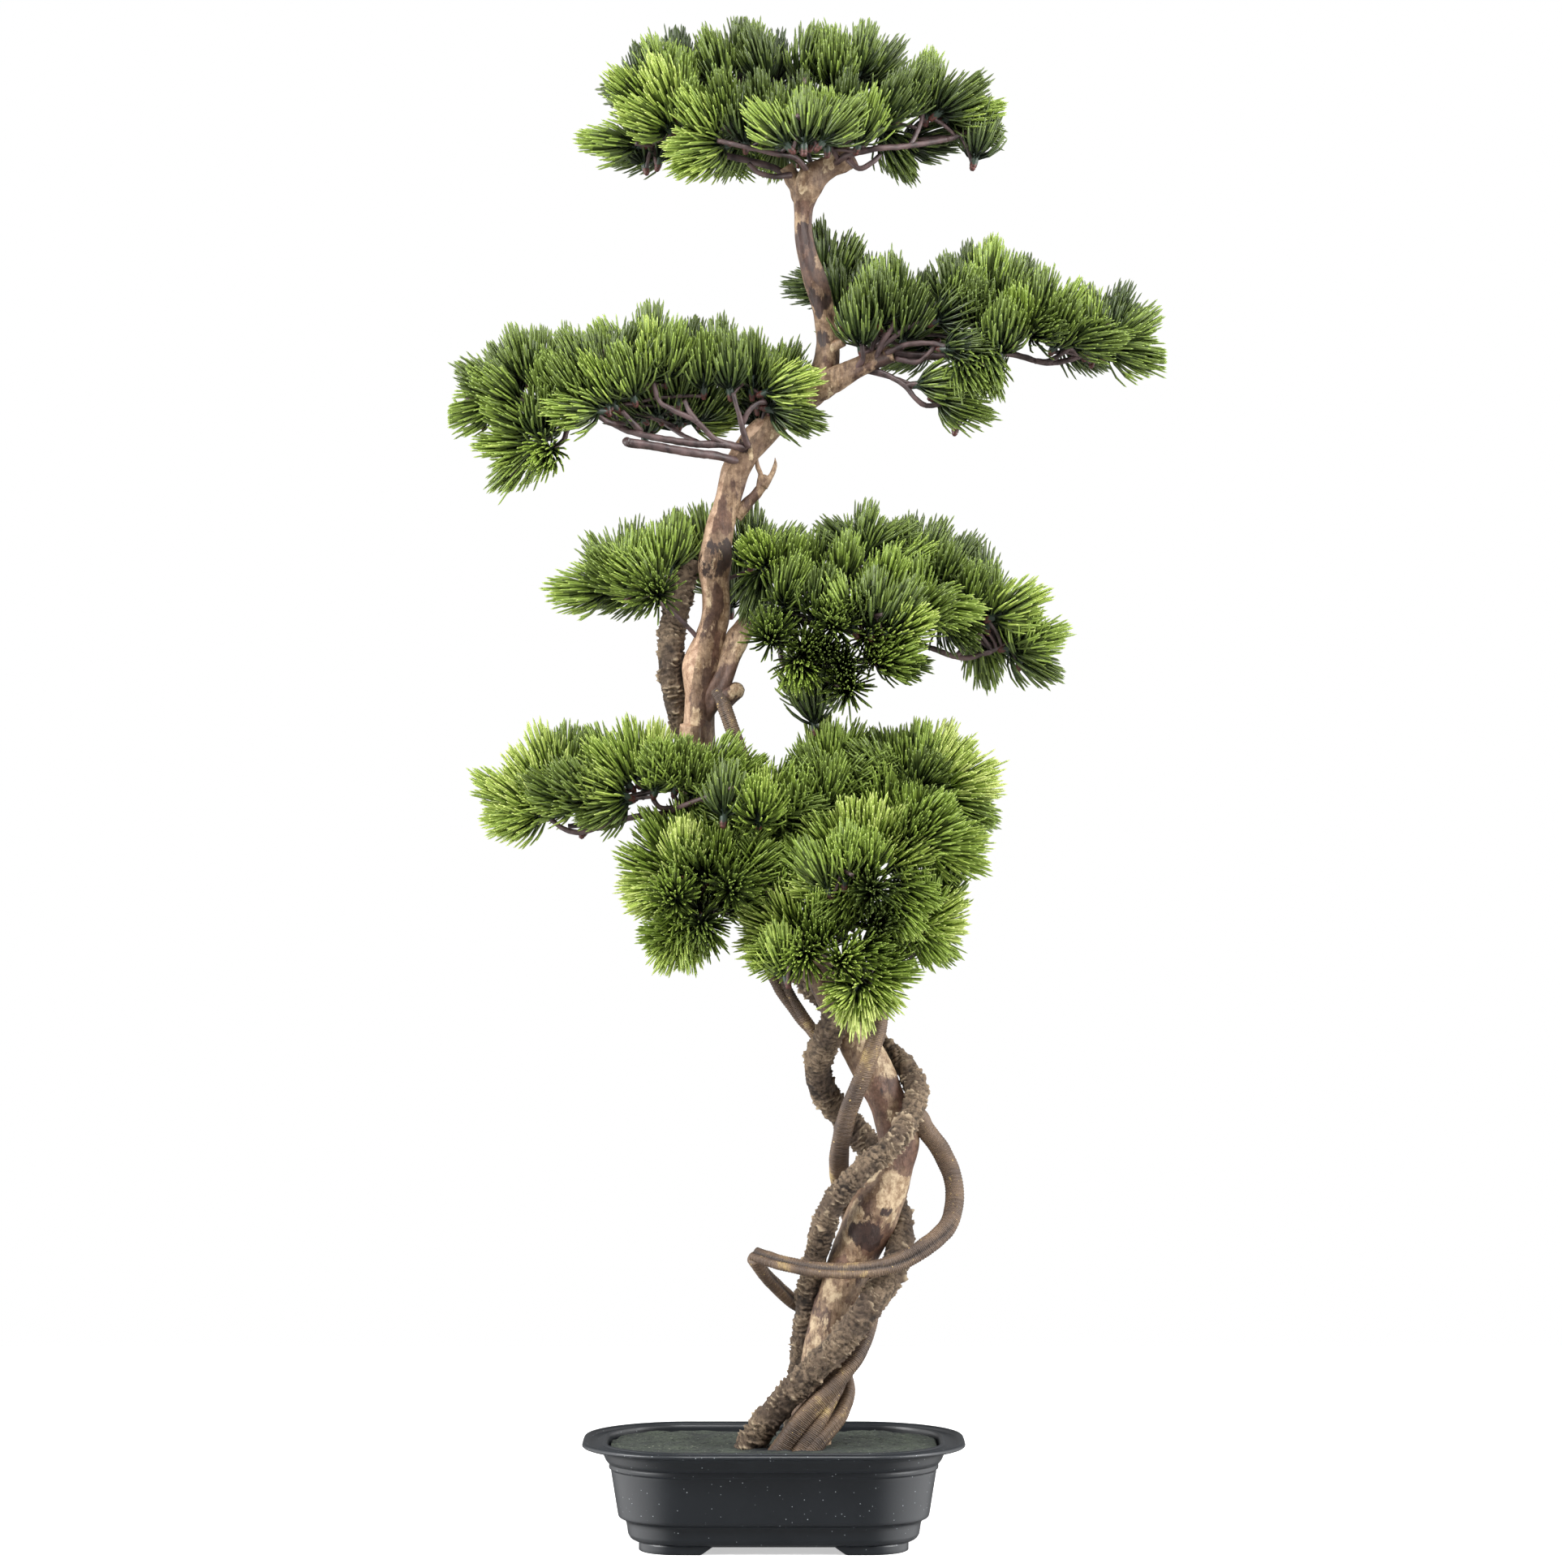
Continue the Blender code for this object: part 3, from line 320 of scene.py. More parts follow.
soil[..., 2] += torn * 1.6 * MM * (lumps(soil * (1, 1, 0), 5 * MM, 5) + 0.3)
add_piece("foam_soil", skin(soil), [foam], replaces=["soil"], slot="soil_foam",
          torn=np.concatenate((torn.ravel(), (0, 0))))

# ---- Trunk -----------------------------------------------------------------------------
# A natural hardwood stem, peeled and dried: it leans out of the foam, bends back twice and
# ends in a short fork.  Flats, knots and burls of the real wood stand out of its round.

TRUNK_ROUTE = (
    (14, 0, 40), (30, 2, 92), (39, 4, 142), (50, 3, 190), (70, 0, 243), (88, -3, 283),
    (96, -3, 313), (88, -1, 348), (66, 4, 392), (42, 9, 436), (6, 12, 486), (-40, 14, 543),
    (-57, 12, 585), (-59, 6, 640), (-55, 2, 692), (-47, 0, 730), (-46, 0, 775),
    (-36, 1, 819), (-25, 2, 851), (4, 6, 883), (33, 8, 908), (42, 8, 938), (37, 4, 975),
    (24, 0, 1016), (23, 0, 1052), (33, 0, 1074), (62, 0, 1090),
)
TRUNK_FOOT_RADIUS = 16.5
TRUNK_TIP_RADIUS = 7.0
TRUNK_SWELLINGS = (             # height, spread along the trunk, growth of the radius, mm
    (75, 14, 3.5), (250, 42, 5.0), (385, 60, 2.0), (575, 60, 3.2), (690, 16, 2.4),
    (772, 15, 2.6), (880, 50, 2.2), (990, 14, 1.6), (1066, 15, 4.2),
)
TRUNK_SHOOTS = (                # centre line, foot and tip radius
    (((24, 0, 1054), (17, -2, 1068), (9, -3, 1080)), 8.5, 6.0),
    (((-30, 3, 806), (-19, 2, 818), (-9, 0, 829), (-5, -1, 838)), 5.5, 3.2),
    (((-10, 0, 828), (-10, 0, 838), (-13, 0, 846), (-14, 0, 858)), 3.4, 0.6),
    (((-8, -1, 829), (-2, -1, 838), (1, -1, 846), (1, -1, 852)), 3.6, 1.0),
    (((44, 4, 938), (50, 0, 941), (55, -2, 943)), 4.5, 3.2),
    (((-69, 2, 604), (-67, -6, 622), (-65, -9, 642)), 9.5, 8.6),
)
BURLS = (                       # centre, radius and height of each burl in mm; below 0 a dent
    ((-79, 2, 770), 15, 5.0), ((-76, 2, 690), 18, 5.0), ((-80, 4, 735), 13, -2.5),
    ((76, -22, 268), 20, 4.0), ((116, 0, 322), 18, 3.0), ((-58, 0, 800), 11, 3.0),
    ((28, -12, 1068), 14, 4.0), ((52, 2, 1010), 12, 2.5), ((46, 8, 905), 20, 3.5),
)
BLOTCHES = {                    # marks on the wood: centre, radius in mm, strength
    "stain": (
        ((-48, -20, 770), 9, 1.0), ((-43, -20, 781), 6, 0.9), ((-38, -20, 652), 7, 0.7),
        ((72, -24, 245), 7.5, 1.3), ((75, -24, 241), 5, 1.0), ((22, -14, 1033), 3, 0.9),
        ((23, -14, 1022), 5, 1.1), ((25, -14, 1012), 5, 1.1), ((27, -14, 1003), 4, 1.1),
        ((31, -14, 979), 5, 1.0), ((34, -14, 969), 5, 0.9), ((-34, -18, 668), 6, 0.7),
        ((48, -10, 978), 5, 0.5), ((-20, -14, 862), 6, 0.6), ((38, -10, 946), 6, 0.6),
        ((90, -18, 352), 6, 0.7), ((8, -18, 484), 6, 0.7), ((88, -20, 262), 4, 0.7),
    ),
    # Pale patches: partly the wood's own cream, partly painted highlight along the trunk's lit
    # edges.
    "pale": (
        ((66, -24, 258), 9, 0.9), ((63, -20, 244), 6, 0.8), ((94, -22, 284), 9, 0.9),
        ((90, -22, 272), 7, 0.9), ((80, -16, 386), 9, 1.0), ((90, -16, 372), 7, 1.0),
        ((72, -18, 398), 7, 0.8), ((33, -16, 150), 8, 0.7), ((37, -18, 172), 7, 0.7),
        ((-54, -18, 742), 7, 0.8), ((-54, -18, 715), 6, 0.7), ((-66, -10, 650), 8, 0.8),
        ((-68, -10, 626), 8, 0.8), ((10, -14, 896), 6, 0.7), ((-30, -16, 836), 6, 0.7),
        ((30, -14, 945), 4, 0.6), ((44, -14, 198), 7, 0.7), ((-58, -14, 690), 5, 0.7),
    ),
    "ruddy": (
        ((82, -24, 247), 8, 1.0), ((78, -24, 232), 9, 0.9), ((97, -22, 316), 12, 1.0),
        ((88, -20, 350), 12, 1.1), ((76, -22, 356), 9, 0.9), ((106, -14, 302), 8, 0.9),
        ((-40, -18, 704), 9, 0.8), ((-44, -18, 800), 9, 0.8), ((46, -12, 925), 8, 0.7),
        ((20, -12, 1046), 7, 0.7), ((-56, -14, 596), 11, 0.8), ((36, -16, 118), 8, 0.8),
        ((-46, -18, 745), 6, 0.6), ((56, -18, 218), 8, 0.7),
    ),
}
FLANK_FOOT = 600                # mm: the painted highlight down the left flank starts and ends at these heights
FLANK_TOP = 890
FLANK_FADE = 20


def smooth_path(points, step):
    """Points about one step apart on the Catmull-Rom curve through a line in mm."""
    line = np.asarray(points, float) * MM
    line = np.vstack((2 * line[0] - line[1], line, 2 * line[-1] - line[-2]))
    path = []
    for before, start, end, after in zip(line, line[1:], line[2:], line[3:]):
        count = max(1, round(np.linalg.norm(end - start) / step))
        t = np.arange(count)[:, None] / count
        path.append(0.5 * (2 * start + (end - before) * t
                           + (2 * before - 5 * start + 4 * end - after) * t ** 2
                           + (3 * start - before - 3 * end + after) * t ** 3))
    return np.vstack(path + [line[-2:-1]])


def lengths_along(path):
    """The distance along the path to each of its points."""
    steps = np.linalg.norm(np.diff(path, axis=0), axis=1)
    return np.concatenate(([0.0], np.cumsum(steps)))


def tapered(path, foot, tip):
    """A radius in metres for each point, falling evenly from the foot to the tip in mm."""
    along = lengths_along(path)
    return (foot + (tip - foot) * along / along[-1]) * MM


def swelling(path, height, spread, growth):
    """What a radius gains round a height: a bell with its place, spread and top in mm."""
    return growth * MM * np.exp(-((path[:, 2] - height * MM) / (spread * MM)) ** 2)


def carried_frames(path):
    """Sideways and upward directions at each point of a path, turned as little as can be."""
    ahead = np.gradient(path, axis=0)
    ahead /= np.linalg.norm(ahead, axis=1)[:, None]
    side = np.empty_like(ahead)
    seed = np.eye(3)[np.abs(ahead[0]).argmin()]
    for i, forward in enumerate(ahead):
        seed = seed - forward * (seed @ forward)
        seed = seed / np.linalg.norm(seed)
        side[i] = seed
    return side, np.cross(ahead, side)


def limb_rings(path, radii, sides, grow=None):
    """Rings round a path: each point lies one radius out, plus what grow adds to it.

    grow takes the points of the plain tube, the angle and the distance along."""
    side, up = carried_frames(path)
    angle = np.arange(sides) * math.tau / sides
    out = (side[:, None] * np.cos(angle)[None, :, None]
           + up[:, None] * np.sin(angle)[None, :, None])
    plain = path[:, None] + out * radii[:, None, None]
    if grow is None:
        return plain
    added = grow(plain, angle[None], lengths_along(path)[:, None])
    return plain + out * added[..., None]


def lumpy(growth, size, seed):
    """A relief of even lumps alone, in the form that limb_rings takes."""
    return lambda points, angle, along: growth * MM * lumps(points, size * MM, seed)


def near(points, centre, radius):
    """A bell from 1 at a centre in mm down to 0 a few radii away."""
    gap = np.linalg.norm(points - np.array(centre) * MM, axis=-1) / (radius * MM)
    return np.exp(-gap ** 2)


def seen_near(points, centre, radius, axis_y):
    """The same bell in x and z alone, on the side of the limb that is in front of its axis."""
    gap = np.linalg.norm((points - np.array(centre) * MM)[..., ::2], axis=-1) / (radius * MM)
    return np.exp(-(0.72 * gap) ** 2) * np.clip(0.5 - (points[..., 1] - axis_y) / (9 * MM), 0, 1)


def wood_relief(points, angle, along):
    """Flats that drift round the stem, long lumps, fine fibre and the listed burls."""
    long_way = points * (1, 1, 0.45)
    grown = 1.5 * MM * lumps(long_way, 19 * MM, 11) + 0.7 * MM * lumps(long_way, 7 * MM, 12)
    grown = grown + 0.25 * MM * lumps(points * (1, 1, 0.2), 1.8 * MM, 13)
    grown = grown + 1.3 * MM * np.cos(3 * angle + 9 * along + 2 * np.sin(7 * along))
    for centre, radius, height in BURLS:
        grown = grown + height * MM * near(points, centre, radius)
    return grown


# Hardwood with the bark peeled off: a dull tan with fine fibre along it, cream in listed patches
# that are partly scraped wood and partly painted highlight on the trunk's lit edges, a painted
# highlight down the left flank, dark with ragged edges where bark or stain is left, and no gloss.
# The fibre is 2.4 mm wide, the clouds 38 mm, the patches 29 mm, their torn edges 16 mm, the mottle 7
# mm.
wood, tree, shader = new_finish("peeled_hardwood", IOR=1.5)
spot = add(tree, "TexCoord", {}, out=3)
fibre_way = add(tree, "Mapping", {"Vector": spot, "Scale": (1.0, 1.0, 0.16)})
patch_way = add(tree, "Mapping", {"Vector": spot, "Scale": (1.0, 1.0, 0.45),
                                  "Location": (0.31, 0.17, 0.05)})
fibre = add(tree, "TexNoise", {"Vector": fibre_way, "Scale": 420.0, "Detail": 4.0,
                               "Roughness": 0.7})
cloud = add(tree, "TexNoise", {"Vector": spot, "Scale": 26.0, "Detail": 4.0, "Roughness": 0.6})
patches = add(tree, "TexNoise", {"Vector": patch_way, "Scale": 34.0, "Detail": 6.0,
                                 "Roughness": 0.62})
torn_edge = add(tree, "TexNoise", {"Vector": patch_way, "Scale": 62.0, "Detail": 7.0,
                                   "Roughness": 0.68})
mottle = add(tree, "TexNoise", {"Vector": spot, "Scale": 150.0, "Detail": 6.0, "Roughness": 0.75})
ragged = add(tree, "MapRange", {"Value": torn_edge, 1: 0.38, 2: 0.62, 3: 0.0, 4: 1.9})
waver = add(tree, "MapRange", {"Value": torn_edge, 1: 0.40, 2: 0.60, 3: 0.55, 4: 1.3})
marks_and_highlight = {}
for mark, edge in (("pale", ragged), ("ruddy", ragged), ("flank", waver), ("stain", ragged)):
    amount = add(tree, "Attribute", {}, out=2, attribute_name=mark)
    marks_and_highlight[mark] = add(tree, "Math", {0: amount, 1: edge}, operation="MULTIPLY")
# Over the tan go pale patches, partly painted highlight, and the painted highlight down the left
# flank.
tone = laid_over(tree, shade("#7f6650"), (
    (cloud, 0.38, 0.62, 0.0, 1.0, "#b09678"), (fibre, 0.42, 0.62, 0.55, 0.0, "#5d4736"),
    (patches, 0.545, 0.575, 0.0, 1.0, "#583f31"), (patches, 0.40, 0.385, 0.0, 1.0, "#c4b191"),
    (marks_and_highlight["pale"], 0.38, 0.50, 0.0, 0.85, "#c3ae8e"),
    (marks_and_highlight["ruddy"], 0.38, 0.50, 0.0, 0.85, "#634536"),
    (marks_and_highlight["flank"], 0.46, 0.56, 0.0, 0.85, "#c6a78c")))
dark = laid_over(tree, shade("#17110e"), ((cloud, 0.0, 1.0, 0.0, 1.0, "#4a2f25"),))
stain = add(tree, "MapRange", {"Value": marks_and_highlight["stain"], 1: 0.34, 2: 0.46})
tone = add(tree, "Mix", {0: stain, 6: tone, 7: dark}, out=2, data_type="RGBA")
grime = laid_over(tree, shade("#ffffff"), ((mottle, 0.40, 0.60, 0.85, 0.0, "#98816d"),))
tone = add(tree, "Mix", {0: 1.0, 6: tone, 7: grime}, out=2, data_type="RGBA",
           blend_type="MULTIPLY")
rough = add(tree, "MapRange", {"Value": fibre, 3: 0.5, 4: 0.72})
step = add(tree, "MapRange", {"Value": patches, 1: 0.545, 2: 0.575, 3: 0.0, 4: 0.5})
height = add(tree, "Math", {0: fibre, 1: step}, operation="ADD")
relief = add(tree, "Bump", {"Height": height, "Strength": 0.55, "Distance": 1.2 * MM})
wire(tree, shader, Base_Color=tone, Roughness=rough, Normal=relief)

limbs = {}
path = smooth_path(TRUNK_ROUTE, 2.6 * MM)
radii = tapered(path, TRUNK_FOOT_RADIUS, TRUNK_TIP_RADIUS)
for swell in TRUNK_SWELLINGS:
    radii += swelling(path, *swell)
limbs["trunk"] = (path, radii)
keep = path[:, 2] > SOIL_TOP - 9 * MM
shells = [skin(limb_rings(path[keep], radii[keep] * 0.97, 56, wood_relief))]
for route, foot_radius, tip_radius in TRUNK_SHOOTS:
    path = smooth_path(route, 1.5 * MM)
    radii = tapered(path, foot_radius, tip_radius)
    shells.append(skin(limb_rings(path, radii, 24, lumpy(0.9, 6, 21))))
    limbs.setdefault("trunk_top", (path, radii))
trunk_shell = merged(shells)
points = trunk_shell[0]
level = points[:, 2] / MM
axis_x, axis_y = (np.interp(points[:, 2], limbs["trunk"][0][:, 2], limbs["trunk"][0][:, k])
                  for k in (0, 1))
marks = {mark: sum(strength * seen_near(points, centre, radius, axis_y)
                   for centre, radius, strength in spots) for mark, spots in BLOTCHES.items()}
# A painted highlight down the left side of the trunk, between the flank's two heights.
stretch = (np.clip((level - FLANK_FOOT) / FLANK_FADE, 0, 1)
           * np.clip((FLANK_TOP - level) / FLANK_FADE, 0, 1))
marks["flank"] = np.clip(((axis_x - points[:, 0]) / MM - 3) / 6, 0, 1) * stretch
add_piece("trunk_wood", trunk_shell, [wood], replaces=["trunk"], slot="trunk_wood", **marks)

# ---- Vines ------------------------------------------------------------------------------
# Lengths of dried liana stuck in the foam and wound round the trunk's foot.  Two kinds: one
# with thick flaking bark, one smooth, lobed like a rope and ribbed finely across.

VINES = (                       # nodes, kind, carrier, centre line, foot and tip radius
    ("rough_vine_right", "rough", "soil",
     ((-37, -10, 50), (-8, -22, 95), (17, -30, 126), (48, -35, 158), (74, -33, 191),
      (93, -14, 219), (98, 12, 243), (93, 30, 268), (82, 38, 298), (57, 35, 330),
      (37, 14, 358), (36, -6, 384), (47, -22, 410), (57, -24, 440), (57, -20, 457)),
     11.0, 10.3),
    ("rough_vine_left", "rough", "soil",
     ((16, 32, 50), (20, 27, 100), (25, 22, 140), (29, 17, 190), (37, -8, 235),
      (47, -26, 268), (68, -35, 295), (92, -35, 316), (109, -22, 342), (110, 2, 364),
      (92, 26, 384), (68, 38, 398), (46, 40, 418), (24, 40, 442), (0, 42, 474)),
     10.0, 8.0),
    ("rough_vine_upper", "rough", "trunk",
     ((4, 14, 486), (-6, 38, 496), (-24, 44, 516), (-42, 43, 550), (-56, 40, 580),
      (-64, 32, 618), (-76, 20, 656), (-81, 12, 693), (-77, 12, 735), (-69, 14, 773)),
     7.5, 11.0),
    ("smooth_vine_right", "smooth", "soil",
     ((-14, -33, 50), (18, -35, 98), (47, -29, 130), (65, -19, 152), (75, 0, 176),
      (77, 20, 198), (71, 32, 226), (62, 28, 254), (53, 8, 282), (51, -12, 308),
      (58, -26, 342), (70, -34, 372), (80, -35, 402), (84, -33, 428)), 8.5, 7.5),
    ("smooth_vine_foot", "smooth", "soil",
     ((6, -36, 50), (32, -33, 82), (50, -14, 103), (56, 8, 124), (50, 24, 142),
      (40, 30, 160)), 8.0, 6.0),
    ("loop_vine_front", "smooth", "rough_vine_left",
     ((107, -20, 342), (116, -2, 325), (129, 3, 308), (138, -4, 289), (140, -12, 268),
      (134, -26, 250), (117, -36, 236), (92, -42, 223), (60, -42, 218), (28, -36, 219),
      (0, -24, 224), (-15, -12, 228)), 7.6, 6.6),
    ("loop_vine_back", "smooth", "loop_vine_front",
     ((-15, -9, 225), (-7, 6, 211), (3, 18, 199), (14, 27, 188), (24, 34, 180)), 6.4, 5.6),
    ("smooth_vine_left", "smooth", "trunk",
     ((-48, 0, 674), (-41, -10, 663), (-37, -16, 651), (-31, -18, 635), (-25, -17, 619),
      (-20, -15, 603), (-18, -14, 572), (-17, -16, 535),
      (-16, -18, 497), (-8, -16, 460), (8, -10, 428), (27, -2, 402), (36, 2, 390)), 5.6, 5.4),
)
VINE_STEP = 17 * MM
VINE_GAP = 0.3 * MM
LOBES = {                       # strands of a smooth vine: angle, share out, share thick
    "smooth_vine_right": ((0.4, 0.38, 0.68), (2.6, 0.42, 0.60), (4.5, 0.40, 0.58)),
    "smooth_vine_foot": ((0.0, 0.42, 0.62), (2.4, 0.40, 0.60), (4.3, 0.36, 0.56)),
    "smooth_vine_left": ((0.3, 0.30, 0.72), (3.3, 0.50, 0.50)),
}
TWO_LOBES = ((1.75, 0.34, 0.70), (4.9, 0.52, 0.50))
PARTS_AT = {"loop_vine_front": 95 * MM}     # how far along it a vine parts into strands
BESIDE = {                      # thinner stems laid along a vine, foot and tip radius
    "smooth_vine_left": (((-9, -16, 505), (-6, -17, 478), (4, -14, 450), (16, -8, 425),
                          (30, -2, 404), (38, 2, 394)), 3.2, 4.6),
    "smooth_vine_foot": (((10, -35, 62), (21, -35, 78), (34, -31, 97), (43, -23, 112),
                          (51, -12, 126), (56, -2, 138)), 7.2, 4.6),
}


def nearest_room(points, radii, others):
    """Free air between round points and the nearest limb, and the way out of it."""
    starts = np.vstack([path[:-1] for path, _ in others])
    ends = np.vstack([path[1:] for path, _ in others])
    start_radii = np.concatenate([sizes[:-1] for _, sizes in others])
    end_radii = np.concatenate([sizes[1:] for _, sizes in others])
    span = ends - starts
    offset = points[:, None] - starts[None]
    t = np.clip((offset * span).sum(-1) / (span * span).sum(-1), 0, 1)
    away = offset - t[..., None] * span
    distance = np.linalg.norm(away, axis=-1)
    room = distance - start_radii - t * (end_radii - start_radii) - radii[:, None]
    best = room.argmin(axis=1)
    rows = np.arange(len(points))
    outward = away[rows, best] / np.maximum(distance[rows, best], 1e-9)[:, None]
    return room[rows, best], outward


def wind_clear(path, radii, others, rooted):
    """Ease a vine off the limbs it winds round until it just lies against them."""
    offset = np.zeros_like(path)
    for turn in range(60):
        if turn < 45:
            offset[1:-1] = 0.5 * offset[1:-1] + 0.25 * (offset[:-2] + offset[2:])
        room, outward = nearest_room(path + offset, radii, others)
        offset += outward * np.maximum(VINE_GAP - room, 0)[:, None]
        if rooted:
            offset[0] = 0
    return path + offset


def flaking_relief(points, angle, along):
    """Papery bark: ragged plates across the stem, each lifting at its edge."""
    ragged = along + 3.4 * MM * lumps(points, 7 * MM, 31) + 1.5 * MM * lumps(points, 2.4 * MM, 36)
    plate = (ragged / (4.6 * MM)) % 1.0
    lift = np.clip(0.6 + 1.1 * lumps(points, 7 * MM, 32), 0.15, 1.5)
    grown = 2.5 * MM * plate ** 2 * lift - 0.6 * MM
    grown = grown + 0.5 * MM * lumps(points, 10 * MM, 33) + 0.5 * MM * lumps(points, 2.0 * MM, 34)
    flake = np.maximum(lumps(points, 3.6 * MM, 35) - 0.3, 0)
    return grown + 3.6 * MM * flake


def strand_relief(lobes, radii, parts_at):
    """A section of round strands laid side by side, twisted slowly and ribbed across.

    Up to a length along it the vine is still one round stem, and then it parts."""
    def grow(points, angle, along):
        turned = angle - 5.0 * along + 0.5 * lumps(points, 60 * MM, 41)
        outline = np.full(turned.shape, 0.35)
        for where, out, thick in lobes:
            swing = turned - where
            inner = np.maximum(thick ** 2 - (out * np.sin(swing)) ** 2, 0)
            reach = out * np.cos(swing) + np.sqrt(inner)
            outline = np.maximum(outline, np.where(inner > 0, reach, 0.35))
        outline = 1 + (outline - 1) * np.clip((along - parts_at) / (25 * MM), 0, 1)
        size = radii[:, None]
        ribs = np.sin((along + 0.8 * MM * lumps(points, 5 * MM, 42)) * math.tau / (2.2 * MM))
        return (outline - 1) * size + 0.24 * MM * ribs + 0.4 * MM * lumps(points, 8 * MM, 43)
    return grow


# Dried liana with papery bark: matt grey-brown plates, a painted highlight on their lifted edges
# and a nearly black painted shade in the gaps between them, in clouds of 25 mm with flecks of 3 mm.
flaking, tree, shader = new_finish("flaking_liana_bark", Roughness=0.92, IOR=1.45)
spot = add(tree, "TexCoord", {}, out=3)
depth = add(tree, "Attribute", {}, out=2, attribute_name="height")
fine = add(tree, "TexNoise", {"Vector": spot, "Scale": 330.0, "Detail": 4.0, "Roughness": 0.7})
cloud = add(tree, "TexNoise", {"Vector": spot, "Scale": 40.0, "Detail": 3.0})
# The last two layers go by how far out the skin stands: painted shade in the gaps, painted highlight
# on the lifted edges.
tone = laid_over(tree, shade("#54463a"), (
    (cloud, 0.38, 0.62, 0.0, 1.0, "#796855"), (fine, 0.40, 0.52, 0.7, 0.0, "#332921"),
    (depth, 0.30, 0.05, 0.0, 1.0, "#231b15"), (depth, 0.55, 0.95, 0.0, 0.8, "#ab9a80")))
relief = add(tree, "Bump", {"Height": fine, "Strength": 0.9, "Distance": 1.0 * MM})
wire(tree, shader, Base_Color=tone, Normal=relief)

# Smooth dried liana: a darker brown with a faint sheen, creased finely across, straw-coloured
# where it is scuffed, with painted shade in the grooves between its strands and in the troughs of
# its creases: clouds of 33 mm, flecks of 2.6 mm, and a crease each 1.4 mm.
ribbed, tree, shader = new_finish("ribbed_liana_bark", IOR=1.5)
spot = add(tree, "TexCoord", {}, out=3)
depth = add(tree, "Attribute", {}, out=2, attribute_name="height")
run = add(tree, "Attribute", {}, out=2, attribute_name="run")
fine = add(tree, "TexNoise", {"Vector": spot, "Scale": 380.0, "Detail": 3.0, "Roughness": 0.6})
cloud = add(tree, "TexNoise", {"Vector": spot, "Scale": 30.0, "Detail": 5.0, "Roughness": 0.6})
wander = add(tree, "Math", {0: fine, 1: 2.6}, operation="MULTIPLY")
rib = add(tree, "Math", {0: run, 1: 4.6, 2: wander}, operation="MULTIPLY_ADD")
rib = add(tree, "Math", {0: rib}, operation="SINE")
# The last two layers are painted shade, in the grooves between strands and in the troughs of the
# creases.
tone = laid_over(tree, shade("#44362d"), (
    (cloud, 0.38, 0.62, 0.0, 1.0, "#705a45"), (cloud, 0.60, 0.68, 0.0, 0.75, "#b39a66"),
    (fine, 0.66, 0.72, 0.0, 1.0, "#c9ab6e"), (depth, 0.50, 0.08, 0.0, 1.0, "#2a1f18"),
    (rib, -0.2, -1.0, 0.0, 0.55, "#33271f")))
rough = add(tree, "MapRange", {"Value": cloud, 3: 0.72, 4: 0.48})
relief = add(tree, "Bump", {"Height": rib, "Strength": 0.5, "Distance": 0.4 * MM})
wire(tree, shader, Base_Color=tone, Roughness=rough, Normal=relief)

for name, kind, carrier, route, foot_radius, tip_radius in VINES:
    coarse = smooth_path(route, VINE_STEP)
    sizes = tapered(coarse, foot_radius, tip_radius)
    others = [limbs[other] for other in limbs
              if not (other == carrier and name.startswith("loop"))]
    coarse = wind_clear(coarse, sizes, others, carrier in limbs)
    limbs[name] = (coarse, sizes)
    path = smooth_path(coarse / MM, (0.9 if kind == "rough" else 0.7) * MM)
    radii = tapered(path, foot_radius, tip_radius)
    if carrier == "soil":
        keep = path[:, 2] > SOIL_TOP - 12 * MM
        path, radii = path[keep], radii[keep]
    if kind == "rough":
        rings = limb_rings(path, radii, 56, flaking_relief)
    else:
        rings = limb_rings(path, radii, 28, strand_relief(
            LOBES.get(name, TWO_LOBES), radii, PARTS_AT.get(name, -MM)))
    shell = skin(rings)
    if name in BESIDE:
        route, foot_radius, tip_radius = BESIDE[name]
        beside = smooth_path(route, 0.7 * MM)
        thin = tapered(beside, foot_radius, tip_radius)
        extra = limb_rings(beside, thin, 28, strand_relief(((0, 0, 1.0),), thin, -MM))
        add_piece(name + "_strand", skin(extra), [ribbed], slot="smooth_vine",
                  height=np.full(extra.shape[0] * extra.shape[1] + 2, 0.8),
                  run=np.concatenate((np.repeat(lengths_along(beside), extra.shape[1]) / MM,
                                      (0.0, 0.0))))
    out = np.linalg.norm(rings - path[:, None], axis=-1) / radii[:, None]
    run = np.repeat(lengths_along(path), rings.shape[1]) / MM
    level = (out - 0.88) / 0.42 if kind == "rough" else (out - 0.45) / 0.6
    add_piece(name + "_bark", shell, [flaking if kind == "rough" else ribbed],
              replaces=[name] + ["loop_vine_side"] * (name == "loop_vine_front"),
              slot=kind + "_vine",
              height=np.concatenate((level.ravel(), (0.5, 0.5))),
              run=np.concatenate((run, (0.0, run[-1]))))

# ---- Boughs ------------------------------------------------------------------------------
# Wire rods in a skin of purple-brown moulded plastic with a knobbly bark grain, pushed into
# holes in the trunk and bent to shape.  Two thick ones are branches of the trunk's own wood.

